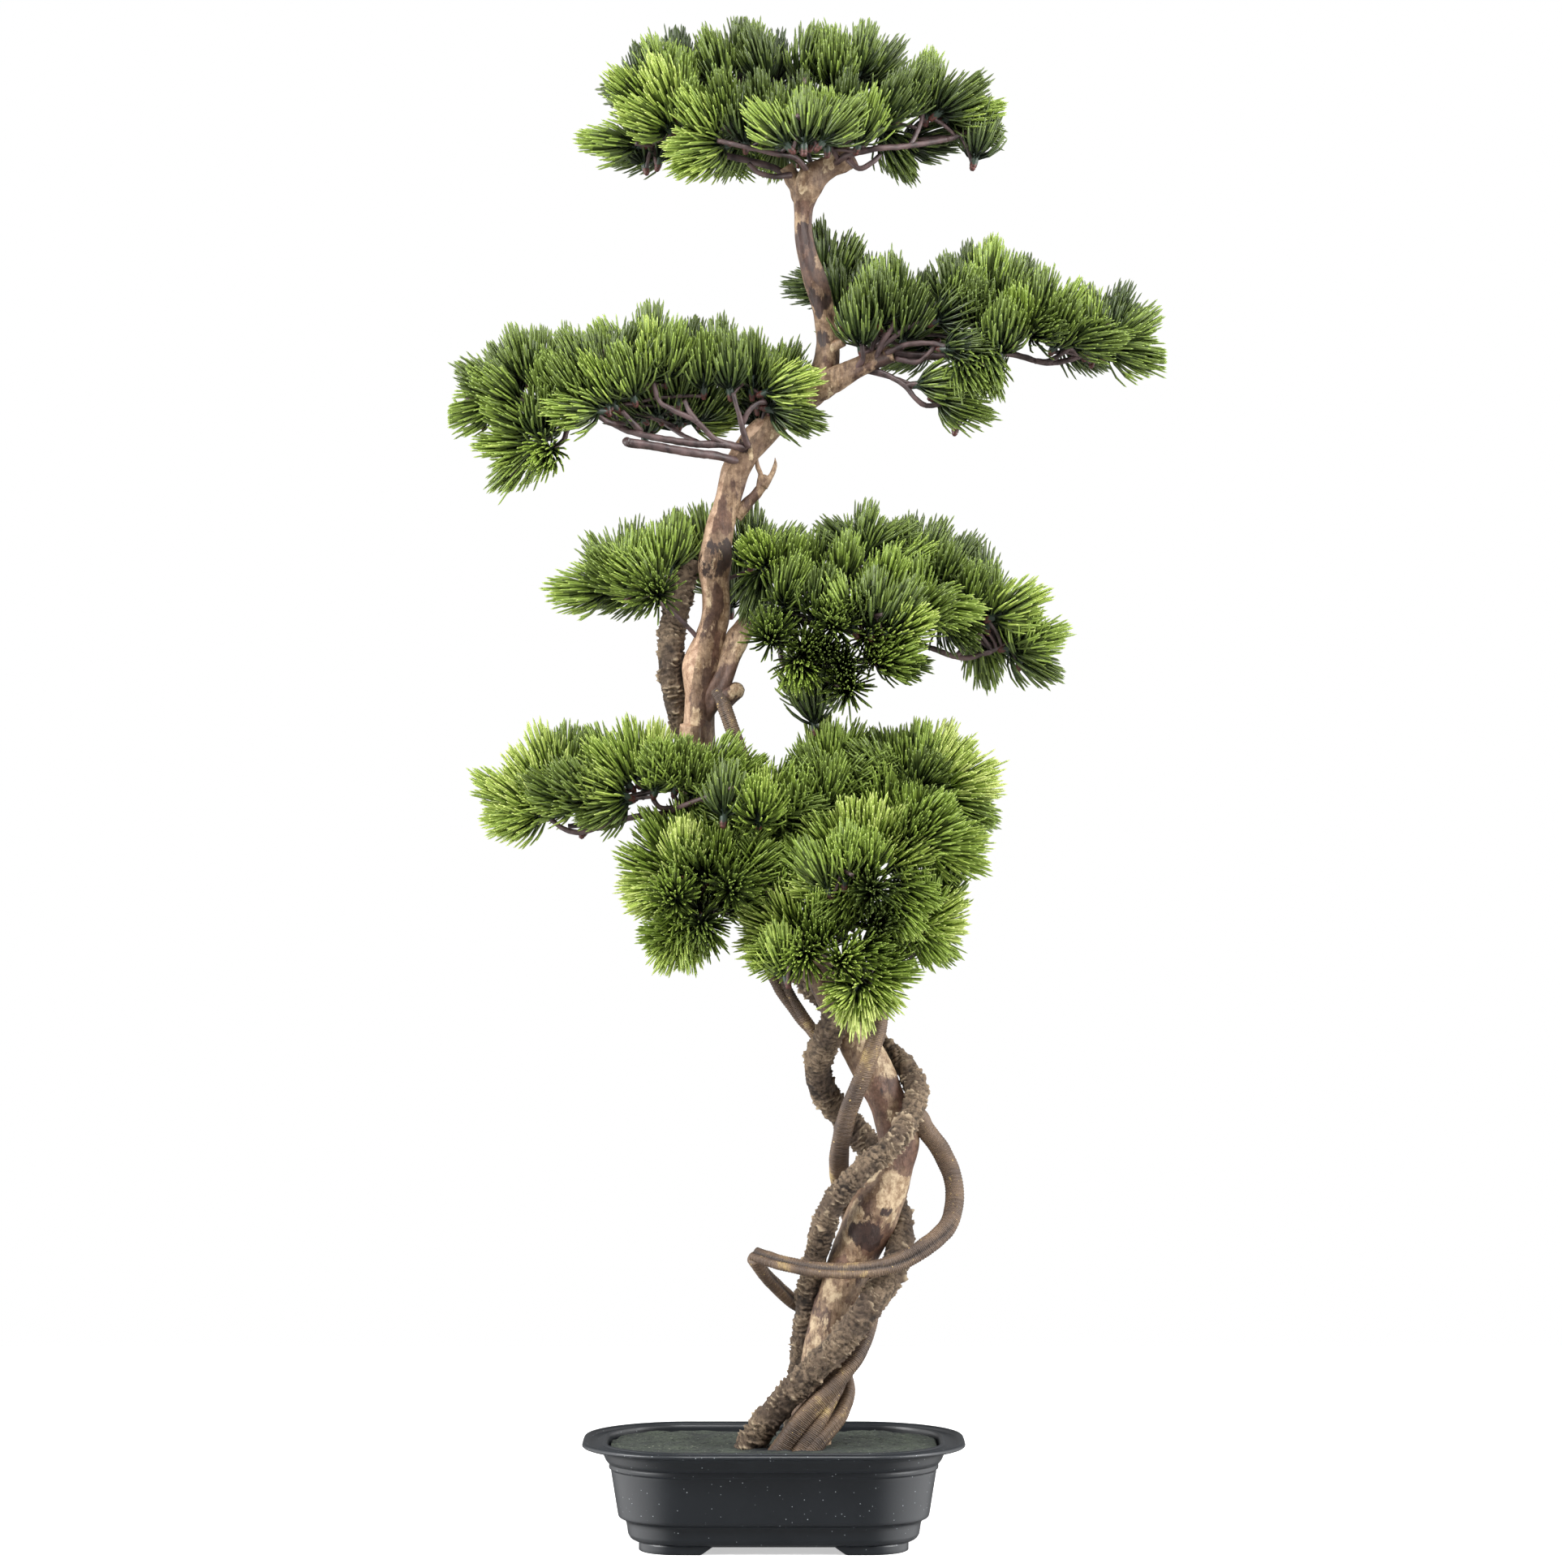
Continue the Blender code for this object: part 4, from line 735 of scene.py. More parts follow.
BOUGHS = (
    ("crown_bough_left", "trunk",
     ((17, -2, 1068), (-2, -3, 1080), (-31, 2, 1088), (-63, 8, 1095), (-89, 12, 1098)),
     3.8, 2.6),
    ("crown_bough_right", "trunk",
     ((46, 0, 1082), (58, -20, 1087), (80, -28, 1091), (104, -20, 1094), (136, -8, 1101)),
     3.8, 2.6),
    ("left_bough", "trunk",
     ((-20, 2, 858), (-36, -18, 861), (-60, -26, 861), (-80, -25, 864), (-100, -20, 868),
      (-118, -12, 874), (-137, -2, 885), (-162, 4, 893)), 4.2, 2.7),
    ("left_bough_lower", "trunk",
     ((-24, 2, 848), (-44, -20, 852), (-72, -33, 855), (-96, -37, 859), (-112, -39, 861),
      (-114, -41, 862)), 4.0, 4.6),
    ("right_bough", "trunk",
     ((26, 7, 903), (52, -3, 915), (74, -8, 925), (93, -9, 932)), 10.5, 6.0),
    ("right_bough_outer", "right_bough",
     ((94, -9, 932), (125, -8, 931), (157, -2, 932), (186, 4, 934), (215, 6, 927),
      (243, 5, 932)), 4.2, 2.6),
    ("middle_bough", "trunk",
     ((-58, 5, 648), (-40, -5, 676), (-31, -3, 700), (-20, 0, 722), (-11, 2, 742)),
     8.6, 4.6),
    ("middle_bough_right", "middle_bough",
     ((-16, 2, 730), (6, -12, 727), (44, -16, 719), (84, -12, 710), (119, 0, 704),
      (148, 2, 695), (171, 0, 700)), 3.8, 2.6),
    ("lower_bough_left", "trunk",
     ((-56, 12, 575), (-80, -8, 573), (-104, -12, 571), (-132, -10, 566), (-161, -4, 563)),
     4.0, 2.6),
    ("lower_bough_right", "trunk",
     ((-24, 14, 519), (2, 8, 528), (24, -14, 543), (52, -25, 555), (88, -20, 566),
      (125, -6, 579)), 4.6, 2.6),
    ("lower_bough_front", "trunk",
     ((4, 12, 484), (14, -16, 492), (36, -34, 492), (64, -43, 487), (89, -37, 478),
      (108, -28, 470)), 4.6, 2.6),
)
THICKEST_ROD = 8.0              # foot radius in mm past which a bough is wood
ROD_SHARE = 0.78                # a rod's thickness beside its listed radius
FORK_SWELLING = (712, 15, 3.2)  # height, spread and growth of the radius on middle_bough, mm
FORK_KNOB = ((-43, -2, 662), (-35, -5, 666), (-24, -7, 672))
BOUGH_MARKS = {                 # marks on the wooden boughs: centre, radius in mm, strength
    "stain": (((-25, -14, 673), 3, 0.8), ((84, -12, 926), 9, 0.8)),
    # As on the trunk, the pale marks are partly painted highlight.
    "pale": (((-22, -4, 700), 13, 0.9), ((-27, -10, 668), 9, 0.9), ((-14, -4, 716), 10, 0.8)),
    "ruddy": (((-34, -12, 704), 8, 0.4),),
}


def rod_relief(points, angle, along):
    """A moulded bark skin: low lumps of two sizes."""
    return 0.35 * MM * lumps(points, 5 * MM, 51) + 0.2 * MM * lumps(points, 2 * MM, 52)


# Polyethylene moulded over wire: a purple-brown with a low satin shine on its small lumps,
# in clouds of 11 mm with a grain of 1.7 mm.
rod, tree, shader = new_finish("bough_polyethylene", IOR=1.51)
spot = add(tree, "TexCoord", {}, out=3)
cloud = add(tree, "TexNoise", {"Vector": spot, "Scale": 90.0, "Detail": 4.0, "Roughness": 0.6})
tone = laid_over(tree, shade("#2f2323"), ((cloud, 0.36, 0.64, 0.0, 1.0, "#5d4948"),))
rough = add(tree, "MapRange", {"Value": cloud, 3: 0.40, 4: 0.58})
grain = add(tree, "TexNoise", {"Vector": spot, "Scale": 600.0, "Detail": 2.0})
relief = add(tree, "Bump", {"Height": grain, "Strength": 0.35, "Distance": 0.5 * MM})
wire(tree, shader, Base_Color=tone, Roughness=rough, Normal=relief)

for name, carrier, route, foot_radius, tip_radius in BOUGHS:
    path = smooth_path(route, 2.0 * MM)
    radii = tapered(path, foot_radius, tip_radius)
    limbs[name] = (path[::6], radii[::6])
    if foot_radius > THICKEST_ROD:
        if name == "middle_bough":
            radii += swelling(path, *FORK_SWELLING)
        shells = [skin(limb_rings(path, radii * 0.97, 36, wood_relief))]
        if name == "middle_bough":
            knob = smooth_path(FORK_KNOB, 1.0 * MM)
            end = np.clip(4 * lengths_along(knob) / lengths_along(knob)[-1] - 3, 0, 1)
            knob_radii = tapered(knob, 10.0, 6.4) * np.sqrt(1 - 0.85 * end ** 2)
            shells.append(skin(limb_rings(knob, knob_radii, 24, lumpy(1.6, 7, 61))))
        shell = merged(shells)
        marks = {mark: sum(strength * near(shell[0], centre, radius)
                           for centre, radius, strength in spots)
                 for mark, spots in BOUGH_MARKS.items()}
        add_piece(name + "_wood", shell, [wood], replaces=[name], slot="trunk_wood", **marks)
    else:
        shell = skin(limb_rings(path, ROD_SHARE * radii, 14, rod_relief))
        add_piece(name + "_rod", shell, [rod], replaces=[name], slot="bough_plastic")

# ---- Twigs -------------------------------------------------------------------------------
# Each mass of foliage hangs on one stem that leaves its bough, and twigs branch from it to
# every tuft.  A twig ends in a red-brown collar, and a grey-green sheath runs on from that.

MASSES = (                      # name, carrier, place along it, extents in mm
    ("crown_left_low", "crown_bough_left", 1.0, (-153, -39), (-45, 45), (1070, 1148)),
    ("crown_left", "crown_bough_left", 0.7, (-139, -47), (-50, 50), (1125, 1192)),
    ("crown_crest_left", "trunk", 0.97, (-61, 20), (-45, 55), (1139, 1204)),
    ("crown_crest_right", "trunk", 1.0, (7, 100), (-50, 50), (1140, 1197)),
    ("crown_front", "crown_bough_right", 0.1, (-51, 98), (-110, -15), (1087, 1142)),
    ("crown_right", "crown_bough_right", 0.7, (84, 154), (-55, 55), (1116, 1173)),
    ("crown_right_tip", "crown_bough_right", 1.0, (125, 189), (-48, 48), (1089, 1155)),
    ("crown_back", "trunk", 0.95, (-100, 138), (42, 122), (1095, 1188)),
    ("left_tip", "left_bough", 1.0, (-260, -193), (-45, 45), (871, 944)),
    ("left_crest", "left_bough", 0.75, (-210, -47), (-75, 25), (891, 969)),
    ("left_hanging", "left_bough", 0.95, (-241, -149), (-40, 40), (823, 893)),
    ("left_inner", "trunk", 0.8, (-58, 42), (-60, 50), (873, 956)),
    ("left_back", "left_bough", 0.3, (-171, -35), (30, 100), (878, 950)),
    ("right_back", "right_bough", 0.3, (6, 186), (25, 105), (930, 1022)),
    ("right_inner", "right_bough", 0.7, (50, 118), (-60, 30), (939, 1019)),
    ("right_crest", "right_bough_outer", 0.3, (107, 182), (-45, 30), (956, 1026)),
    ("right_front", "right_bough_outer", 0.45, (121, 201), (-90, 5), (901, 963)),
    ("right_hanging", "right_bough", 0.6, (97, 184), (-50, 30), (873, 930)),
    ("right_tip", "right_bough_outer", 1.0, (184, 313), (-48, 48), (911, 1006)),
    ("middle_left", "trunk", 0.62, (-169, -66), (-65, 40), (727, 807)),
    ("middle_back", "trunk", 0.65, (-100, 30), (30, 100), (742, 815)),
    ("middle_crest", "middle_bough_right", 0.55, (30, 180), (-35, 55), (750, 819)),
    ("middle_front", "middle_bough_right", 0.3, (-3, 150), (-100, -20), (700, 772)),
    ("middle_low", "middle_bough_right", 0.3, (-23, 87), (-60, 45), (647, 721)),
    ("middle_tip", "middle_bough_right", 1.0, (149, 228), (-50, 50), (676, 773)),
    ("lower_left_tip", "lower_bough_left", 0.9, (-235, -81), (-50, 50), (553, 643)),
    ("lower_left_front", "lower_bough_left", 0.3, (-82, 4), (-95, -25), (572, 624)),
    ("lower_inner", "trunk", 0.42, (-120, -23), (-55, 45), (448, 581)),
    ("lower_crest", "lower_bough_right", 0.6, (10, 151), (-30, 60), (572, 653)),
    ("lower_right_tip", "lower_bough_right", 1.0, (98, 181), (-55, 45), (523, 622)),
    ("lower_front", "lower_bough_right", 0.4, (-12, 118), (-105, -28), (502, 583)),
    ("lower_right_low", "lower_bough_front", 1.0, (73, 152), (-75, 25), (457, 529)),
    ("lower_hanging", "lower_bough_front", 0.75, (35, 108), (-100, -15), (402, 481)),
    ("lower_left_low", "lower_bough_front", 0.3, (-23, 50), (-110, -20), (440, 505)),
    ("lower_back", "trunk", 0.36, (-35, 128), (40, 110), (496, 619)),
)
# Tufts listed one by one: where the needles start as seen from the front level with the trunk, the
# way the tuft points, and how lime it is from 0 to 10.
# The lime figure is partly each tuft's own colour and partly painted light on the outer tufts that
# the side lamps catch.
TUFTS = {
    "crown": (
        (-113, 0, 1098, -10, 0, 1, 7), (-90, 20, 1096, -10, 2, -2, 1),
        (-100, 0, 1128, -8, -3, 7, 9), (-88, -15, 1112, -10, -4, 4, 8),
        (-97, 20, 1138, -10, 4, 1, 1), (-86, 0, 1145, -3, 0, 10, 5),
        (-76, 20, 1150, 0, 2, 10, 0), (-80, -10, 1128, -4, -4, 9, 10),
        (-72, -5, 1130, 1, -2, 10, 6), (-58, 15, 1140, 2, 1, 10, 1),
        (-50, -30, 1108, -5, -5, 7, 8), (-45, -25, 1098, -10, -3, -1, 8),
        (-44, -15, 1094, -8, -3, -4, 8), (-22, -35, 1105, 0, -3, 10, 2),
        (-26, 10, 1160, 0, 0, 10, 3), (4, -40, 1103, 0, -3, 10, 3),
        (0, 20, 1148, 1, 2, 10, 0), (24, 0, 1150, 2, 0, 10, 3),
        (-35, 30, 1096, 6, 3, -2, 8), (-24, 20, 1106, -3, 4, -5, 4),
        (5, 10, 1100, -1, 6, -4, 6), (42, -35, 1102, 0, -3, 10, 6),
        (68, -35, 1104, 3, -3, 10, 6), (66, 10, 1155, 2, 1, 10, 4),
        (76, 25, 1148, 6, 2, 8, 2), (100, -10, 1125, 4, -2, 9, 4),
        (116, 10, 1134, 2, 1, 10, 9), (134, -10, 1126, 8, -1, 6, 2),
        (142, 0, 1119, 10, -1, 2, 7), (142, 10, 1117, 8, -1, -3, 4),
        (88, 15, 1102, 5, -1, -8, 3), (108, 25, 1100, 10, 3, 1, 3),
        (14, 20, 1098, 8, 2, 2, 6), (85, 30, 1130, 4, 5, 8, 0),
        (60, 40, 1135, 0, 5, 9, 0), (-8, -5, 1150, -3, -3, 10, 3),
        (46, -5, 1148, 0, -4, 10, 5), (-42, -5, 1150, -3, -3, 10, 4),
        (-64, -20, 1112, 0, -6, 8, 4), (23, -8, 1116, 0, -3, 10, 2),
        (55, -12, 1115, 1, -4, 10, 1), (-8, -30, 1118, -1, -6, 9, 2),
        (84, -20, 1118, 4, -5, 8, 3), (-36, -25, 1120, -2, -6, 9, 3),
    ),
    "left": (
        (-215, 0, 905, -10, -1, 6, 4), (-222, 0, 893, -10, -1, -3, 7),
        (-202, 15, 908, -5, 2, 8, 2), (-195, 10, 918, -3, 1, 10, 5),
        (-183, 0, 912, 0, 0, 10, 4), (-163, 15, 912, 0, 1, 10, 3),
        (-143, 25, 910, 0, 2, 10, 1), (-128, -25, 898, -5, -4, 8, 8),
        (-142, -30, 889, -10, -4, 0, 7), (-192, -10, 876, -8, -2, 4, 7),
        (-182, -15, 872, 0, -5, 9, 3), (-196, 0, 862, -10, -2, 0, 7),
        (-191, 5, 857, -7, 0, -7, 5), (-177, -25, 857, -2, -9, -3, 6),
        (-92, 20, 892, -8, 2, 4, 1), (-97, -20, 918, 0, -2, 10, 7),
        (-97, 5, 935, 0, 1, 10, 4), (-75, -10, 903, 0, -1, 10, 5),
        (-68, 20, 925, 2, 3, 10, 1), (-35, -25, 911, -1, -2, 10, 4),
        (-17, -10, 911, 0, -1, 10, 5), (2, 5, 903, 4, 0, 10, 2),
        (0, -20, 905, 10, -3, 3, 9), (3, -10, 888, 10, -2, -3, 4),
        (-60, 15, 882, 10, 2, 2, 7), (-65, 20, 895, 2, 3, 6, 3),
        (-122, 10, 925, -5, 1, 10, 6), (-205, -15, 898, -8, -5, 5, 5),
        (-112, -30, 905, -3, -5, 9, 5), (-55, -20, 912, 0, -4, 10, 5),
        (-172, -15, 900, -2, -5, 9, 4), (-155, -25, 900, -5, -5, 8, 5),
        (-82, -25, 920, 2, -4, 10, 6), (-42, 10, 922, 0, 1, 10, 3),
        (-92, 0, 890, -3, -5, 8, 2), (-72, 5, 886, 2, -4, 8, 1),
        (-52, 5, 886, 5, -4, 7, 4), (-108, 0, 888, -6, -4, 6, 2),
    ),
    "right": (
        (46, 35, 985, -10, 3, 1, 2), (38, 40, 1000, -1, 2, 10, 4),
        (50, 40, 990, 4, 2, 10, 3), (52, 30, 965, -1, 0, 10, 2),
        (68, -20, 945, -1, -3, 10, 4), (93, 0, 970, 0, -1, 10, 4),
        (72, 30, 975, 1, 3, 10, 1), (117, 5, 960, 1, 1, 10, 2),
        (134, -20, 962, 10, -3, 5, 3), (155, 10, 982, 0, 2, 10, 3),
        (168, 0, 985, 1, 0, 10, 9), (180, 0, 972, 2, 0, 10, 6),
        (192, 10, 970, 2, 1, 10, 3), (206, 0, 962, 2, 0, 10, 6),
        (222, 0, 955, 5, 0, 10, 7), (205, -25, 950, 3, -9, 1, 5),
        (178, -40, 940, 1, -5, 8, 5), (165, -40, 930, 2, -6, -8, 5),
        (140, -30, 938, 7, -5, 0, 3), (118, 20, 940, -6, 3, -2, 3),
        (112, 20, 950, 8, 4, 0, 6), (118, -15, 910, 10, -2, 1, 5),
        (135, -10, 895, 10, -1, -3, 3), (150, -35, 925, 3, -8, -5, 6),
        (240, -15, 942, 10, -4, 1, 6), (262, 10, 948, 4, 1, 10, 2),
        (270, 5, 945, 8, 1, 6, 4), (268, 0, 936, 10, -1, -2, 7),
        (230, 20, 944, 8, 3, -5, 1), (245, 5, 942, 1, 0, 10, 7),
        (84, -15, 962, 0, -5, 9, 3), (146, -10, 965, 3, -4, 9, 4),
        (104, -10, 950, 3, -4, 9, 3), (190, -15, 950, 0, -6, 8, 5),
        (160, -15, 958, 0, -6, 8, 3), (222, -10, 944, 3, -6, 7, 5),
    ),
    "middle": (
        (-135, 0, 748, -10, -1, 0, 7), (-123, 0, 758, -6, 1, 9, 3),
        (-112, 15, 762, 0, 2, 10, 3), (-100, -25, 752, -8, -4, 5, 7),
        (-92, -5, 760, -1, -1, 10, 5), (-92, -45, 746, -1, -10, 1, 4),
        (-101, 10, 751, -8, 1, -4, 1), (-80, 0, 770, 1, 0, 10, 5),
        (-76, 30, 769, 0, 3, 10, 5), (-52, 35, 774, -1, 2, 10, 6),
        (-18, 25, 775, 0, 2, 10, 5), (-8, -15, 770, -2, -8, 4, 6),
        (-4, 10, 766, 6, 1, 7, 2), (-10, 0, 757, -2, -3, -8, 2),
        (-2, -45, 712, 0, -9, 2, 4), (10, -30, 740, 3, -5, 8, 5),
        (66, 0, 775, -7, 0, 6, 1), (68, 0, 776, 2, 0, 10, 3),
        (78, 0, 779, 7, 0, 4, 2), (105, 15, 765, 1, 1, 10, 2),
        (98, -5, 762, 9, -2, 5, 7), (112, 0, 760, 10, -1, -2, 3),
        (138, 15, 759, 5, 2, 8, 2), (30, -5, 755, 1, -2, 10, 3),
        (55, -20, 755, 1, -3, 10, 5), (85, -30, 745, 2, -4, 9, 5),
        (68, -40, 735, 0, -9, 1, 1), (35, -40, 730, 2, -5, 8, 3),
        (48, -50, 722, 1, -9, 1, 5), (110, -20, 735, 1, -2, 10, 4),
        (125, -25, 735, 10, -3, -1, 6), (112, -35, 725, 6, -5, 5, 4),
        (100, -50, 716, 5, -7, 3, 8), (88, -40, 694, 5, -6, 2, 5),
        (55, -35, 687, 0, -9, 0, 2), (58, -30, 672, 0, -10, 0, 3),
        (20, -35, 690, 0, -8, -3, 5), (25, -35, 702, 1, -9, 1, 2),
        (168, 0, 727, 0, 0, 10, 4), (178, -15, 730, 10, -3, 5, 9),
        (190, 0, 705, 10, 0, 3, 6), (190, 5, 697, 10, 0, -5, 3),
        (162, 20, 712, 2, 2, -10, 3), (158, 15, 712, 7, 3, -1, 2),
        (160, 15, 745, 0, 2, 10, 1), (130, -5, 750, 3, -4, 9, 3),
        (136, 0, 722, 4, -7, -3, 2), (88, -20, 694, 6, -6, -1, 3),
        (14, -15, 728, -3, -6, -3, 2), (134, 15, 742, 4, 2, 9, 3),
        (152, -10, 735, 2, -5, 8, 4), (75, -35, 712, 2, -9, 0, 3),
        (40, -35, 700, 0, -9, 1, 3), (-118, -20, 755, -6, -6, 6, 4),
        (10, -10, 756, 2, -4, 8, 4), (80, -30, 695, 2, -8, 2, 4),
    ),
    "lower": (
        (-188, -5, 576, -8, -2, 6, 8), (-189, 5, 571, -10, -1, -1, 7),
        (-184, 0, 574, -9, -2, -3, 5), (-184, 5, 590, -6, -2, 8, 8),
        (-176, 10, 603, -3, 1, 10, 7), (-200, 0, 583, -9, -1, 5, 6),
        (-164, 15, 602, 0, 1, 10, 3), (-150, 20, 600, 0, 2, 10, 1),
        (-160, -15, 582, -9, -3, 5, 3), (-158, -10, 584, -10, -2, 0, 5),
        (-147, -25, 586, -5, -5, 6, 2), (-122, -20, 588, -9, -4, 3, 6),
        (-118, -10, 600, -6, -3, 7, 6), (-108, -5, 606, -2, -2, 10, 7),
        (-95, -5, 602, 1, -2, 10, 9), (-128, 15, 605, -4, 2, 9, 4),
        (-100, 15, 598, 2, 2, 10, 5), (-92, -25, 596, 2, -5, 8, 3),
        (-120, -15, 580, -8, -2, -3, 3), (-76, -20, 598, 2, -4, 9, 4),
        (-62, -25, 592, 2, -6, 7, 3), (-50, -20, 598, 5, -3, 8, 4),
        (-60, -15, 582, 5, -5, -2, 3), (-80, -25, 600, -4, -5, 6, 3),
        (-38, -15, 590, 7, -2, 6, 4), (-12, -55, 570, 0, -7, 6, 5),
        (-26, -15, 582, -2, -3, 10, 5), (-9, -20, 570, 1, -2, 10, 5),
        (6, -15, 585, 5, -4, 7, 3), (-30, -20, 575, -6, -4, 4, 3),
        (8, -25, 572, 7, -5, 1, 3), (-82, -10, 542, -5, -3, 8, 4),
        (-66, -10, 548, -1, -2, 10, 5), (-50, -15, 548, 0, -3, 10, 6),
        (-36, -5, 545, 2, -2, 10, 5), (-28, -15, 540, 5, -4, 6, 3),
        (-84, -5, 526, -9, -3, 4, 6), (-81, 0, 516, -10, -2, 0, 8),
        (-77, -10, 511, -9, -4, -3, 9), (-78, -50, 508, -1, -8, 2, 4),
        (-70, -40, 534, 0, -5, 8, 8), (-56, -35, 525, -2, -7, 5, 3),
        (-33, -50, 515, 1, -9, 1, 3), (-45, -30, 530, 1, -5, 8, 5),
        (-22, -30, 525, 6, -5, 5, 4),
        (-56, -40, 484, 1, -8, -2, 3), (-70, -20, 478, -7, -5, 0, 5),
        (-72, -20, 484, -4, -4, -7, 6), (-70, -25, 486, 1, -5, -8, 7),
        (-64, -15, 488, -3, -4, -4, 2), (-60, -5, 500, -2, -6, 3, 1),
        (-44, -5, 502, 3, -5, 3, 2), (-74, -5, 500, -4, -5, 2, 2),
        (-30, -10, 500, 4, -6, 2, 2), (34, -15, 582, -2, -4, 9, 3),
        (42, -20, 582, 2, -4, 9, 4), (18, -20, 572, 1, -5, 8, 3),
        (48, -10, 590, 6, -3, 6, 4), (28, -10, 565, 3, -3, 9, 1),
        (14, -20, 562, 0, -5, 7, 3), (12, -15, 530, 1, -2, 9, 4),
        (0, -10, 545, -3, -2, 9, 3), (25, -15, 545, 2, -3, 9, 1),
        (-8, -20, 525, -4, -5, 6, 3), (5, -25, 512, 2, -7, 3, 2),
        (36, 10, 608, 1, 1, 10, 7),
        (54, 10, 606, 4, 1, 9, 5), (44, -5, 606, 0, -3, 9, 3),
        (60, -10, 598, 8, -3, 5, 3), (36, -15, 592, -4, -4, 8, 3),
        (92, 10, 600, -3, 0, 10, 4), (100, 0, 600, 0, -1, 10, 5),
        (112, -5, 606, 1, -2, 10, 6), (122, 5, 608, 4, 1, 9, 8),
        (128, 5, 600, 7, 1, 7, 8), (140, 0, 596, 9, -1, 4, 9),
        (140, -5, 588, 10, -2, 1, 8), (138, -10, 580, 9, -3, -3, 4),
        (138, 10, 582, 8, 2, -4, 3), (86, -10, 600, -6, -3, 6, 3),
        (115, -20, 595, 2, -7, 4, 2), (86, -15, 572, -1, -3, 10, 5),
        (74, -10, 578, -4, -3, 8, 4), (98, -10, 570, 3, -3, 9, 3),
        (112, -25, 563, 0, -5, 8, 5), (116, -35, 562, 5, -5, 6, 5),
        (120, -40, 552, 6, -6, 3, 5), (128, -25, 549, 10, -4, 1, 6),
        (128, -15, 543, 9, -3, -3, 5), (131, 10, 558, 9, 1, 3, 3),
        (105, -30, 552, 2, -7, 4, 3), (62, -35, 548, -1, -4, 9, 8),
        (50, -35, 540, -5, -4, 7, 6), (76, -35, 548, 1, -4, 9, 7),
        (88, -30, 545, 4, -4, 8, 7), (96, -35, 532, 8, -5, 5, 8),
        (72, -55, 528, 0, -7, 7, 5), (60, -50, 525, -3, -7, 6, 5),
        (78, -62, 512, 0, -10, 0, 1), (48, -45, 512, -9, -5, 2, 6),
        (42, -40, 520, -7, -4, 5, 5), (30, -30, 522, -5, -5, 6, 4),
        (58, -45, 508, -5, -7, -4, 4), (98, -40, 515, 7, -6, -3, 5),
        (92, -45, 502, 5, -6, -6, 6), (120, -10, 498, 1, -3, 10, 4),
        (128, -5, 502, 4, -1, 9, 2), (117, -15, 488, 8, -4, 5, 7),
        (111, -15, 482, 10, -3, 1, 8), (108, -20, 484, 6, -5, -6, 4),
        (110, -25, 488, -5, -7, 3, 3), (114, -25, 500, -3, -5, 8, 4),
        (110, -5, 482, 7, -2, -5, 3), (6, -25, 482, -8, -3, 4, 8),
        (11, -20, 474, -9, -3, -1, 9), (16, -35, 486, -2, -5, 8, 7),
        (32, -45, 482, 1, -5, 8, 6), (44, -40, 486, 3, -5, 7, 5),
        (23, -60, 462, -1, -9, -1, 5), (55, -60, 458, 1, -9, 1, 5),
        (10, -40, 462, -7, -6, 0, 7), (36, -45, 470, 0, -8, 4, 3),
        (52, -35, 482, -3, -5, 8, 4), (62, -30, 492, 0, -6, 8, 3),
        (82, -45, 487, 1, -8, 1, 1), (74, -35, 447, 9, -5, 1, 5),
        (86, -25, 455, 4, -5, 8, 2), (66, -50, 432, 0, -5, -8, 9),
        (64, -55, 436, -4, -7, -2, 7), (70, -40, 443, 6, -5, -5, 8),
        (70, -45, 465, 3, -8, 1, 3),
    ),
}
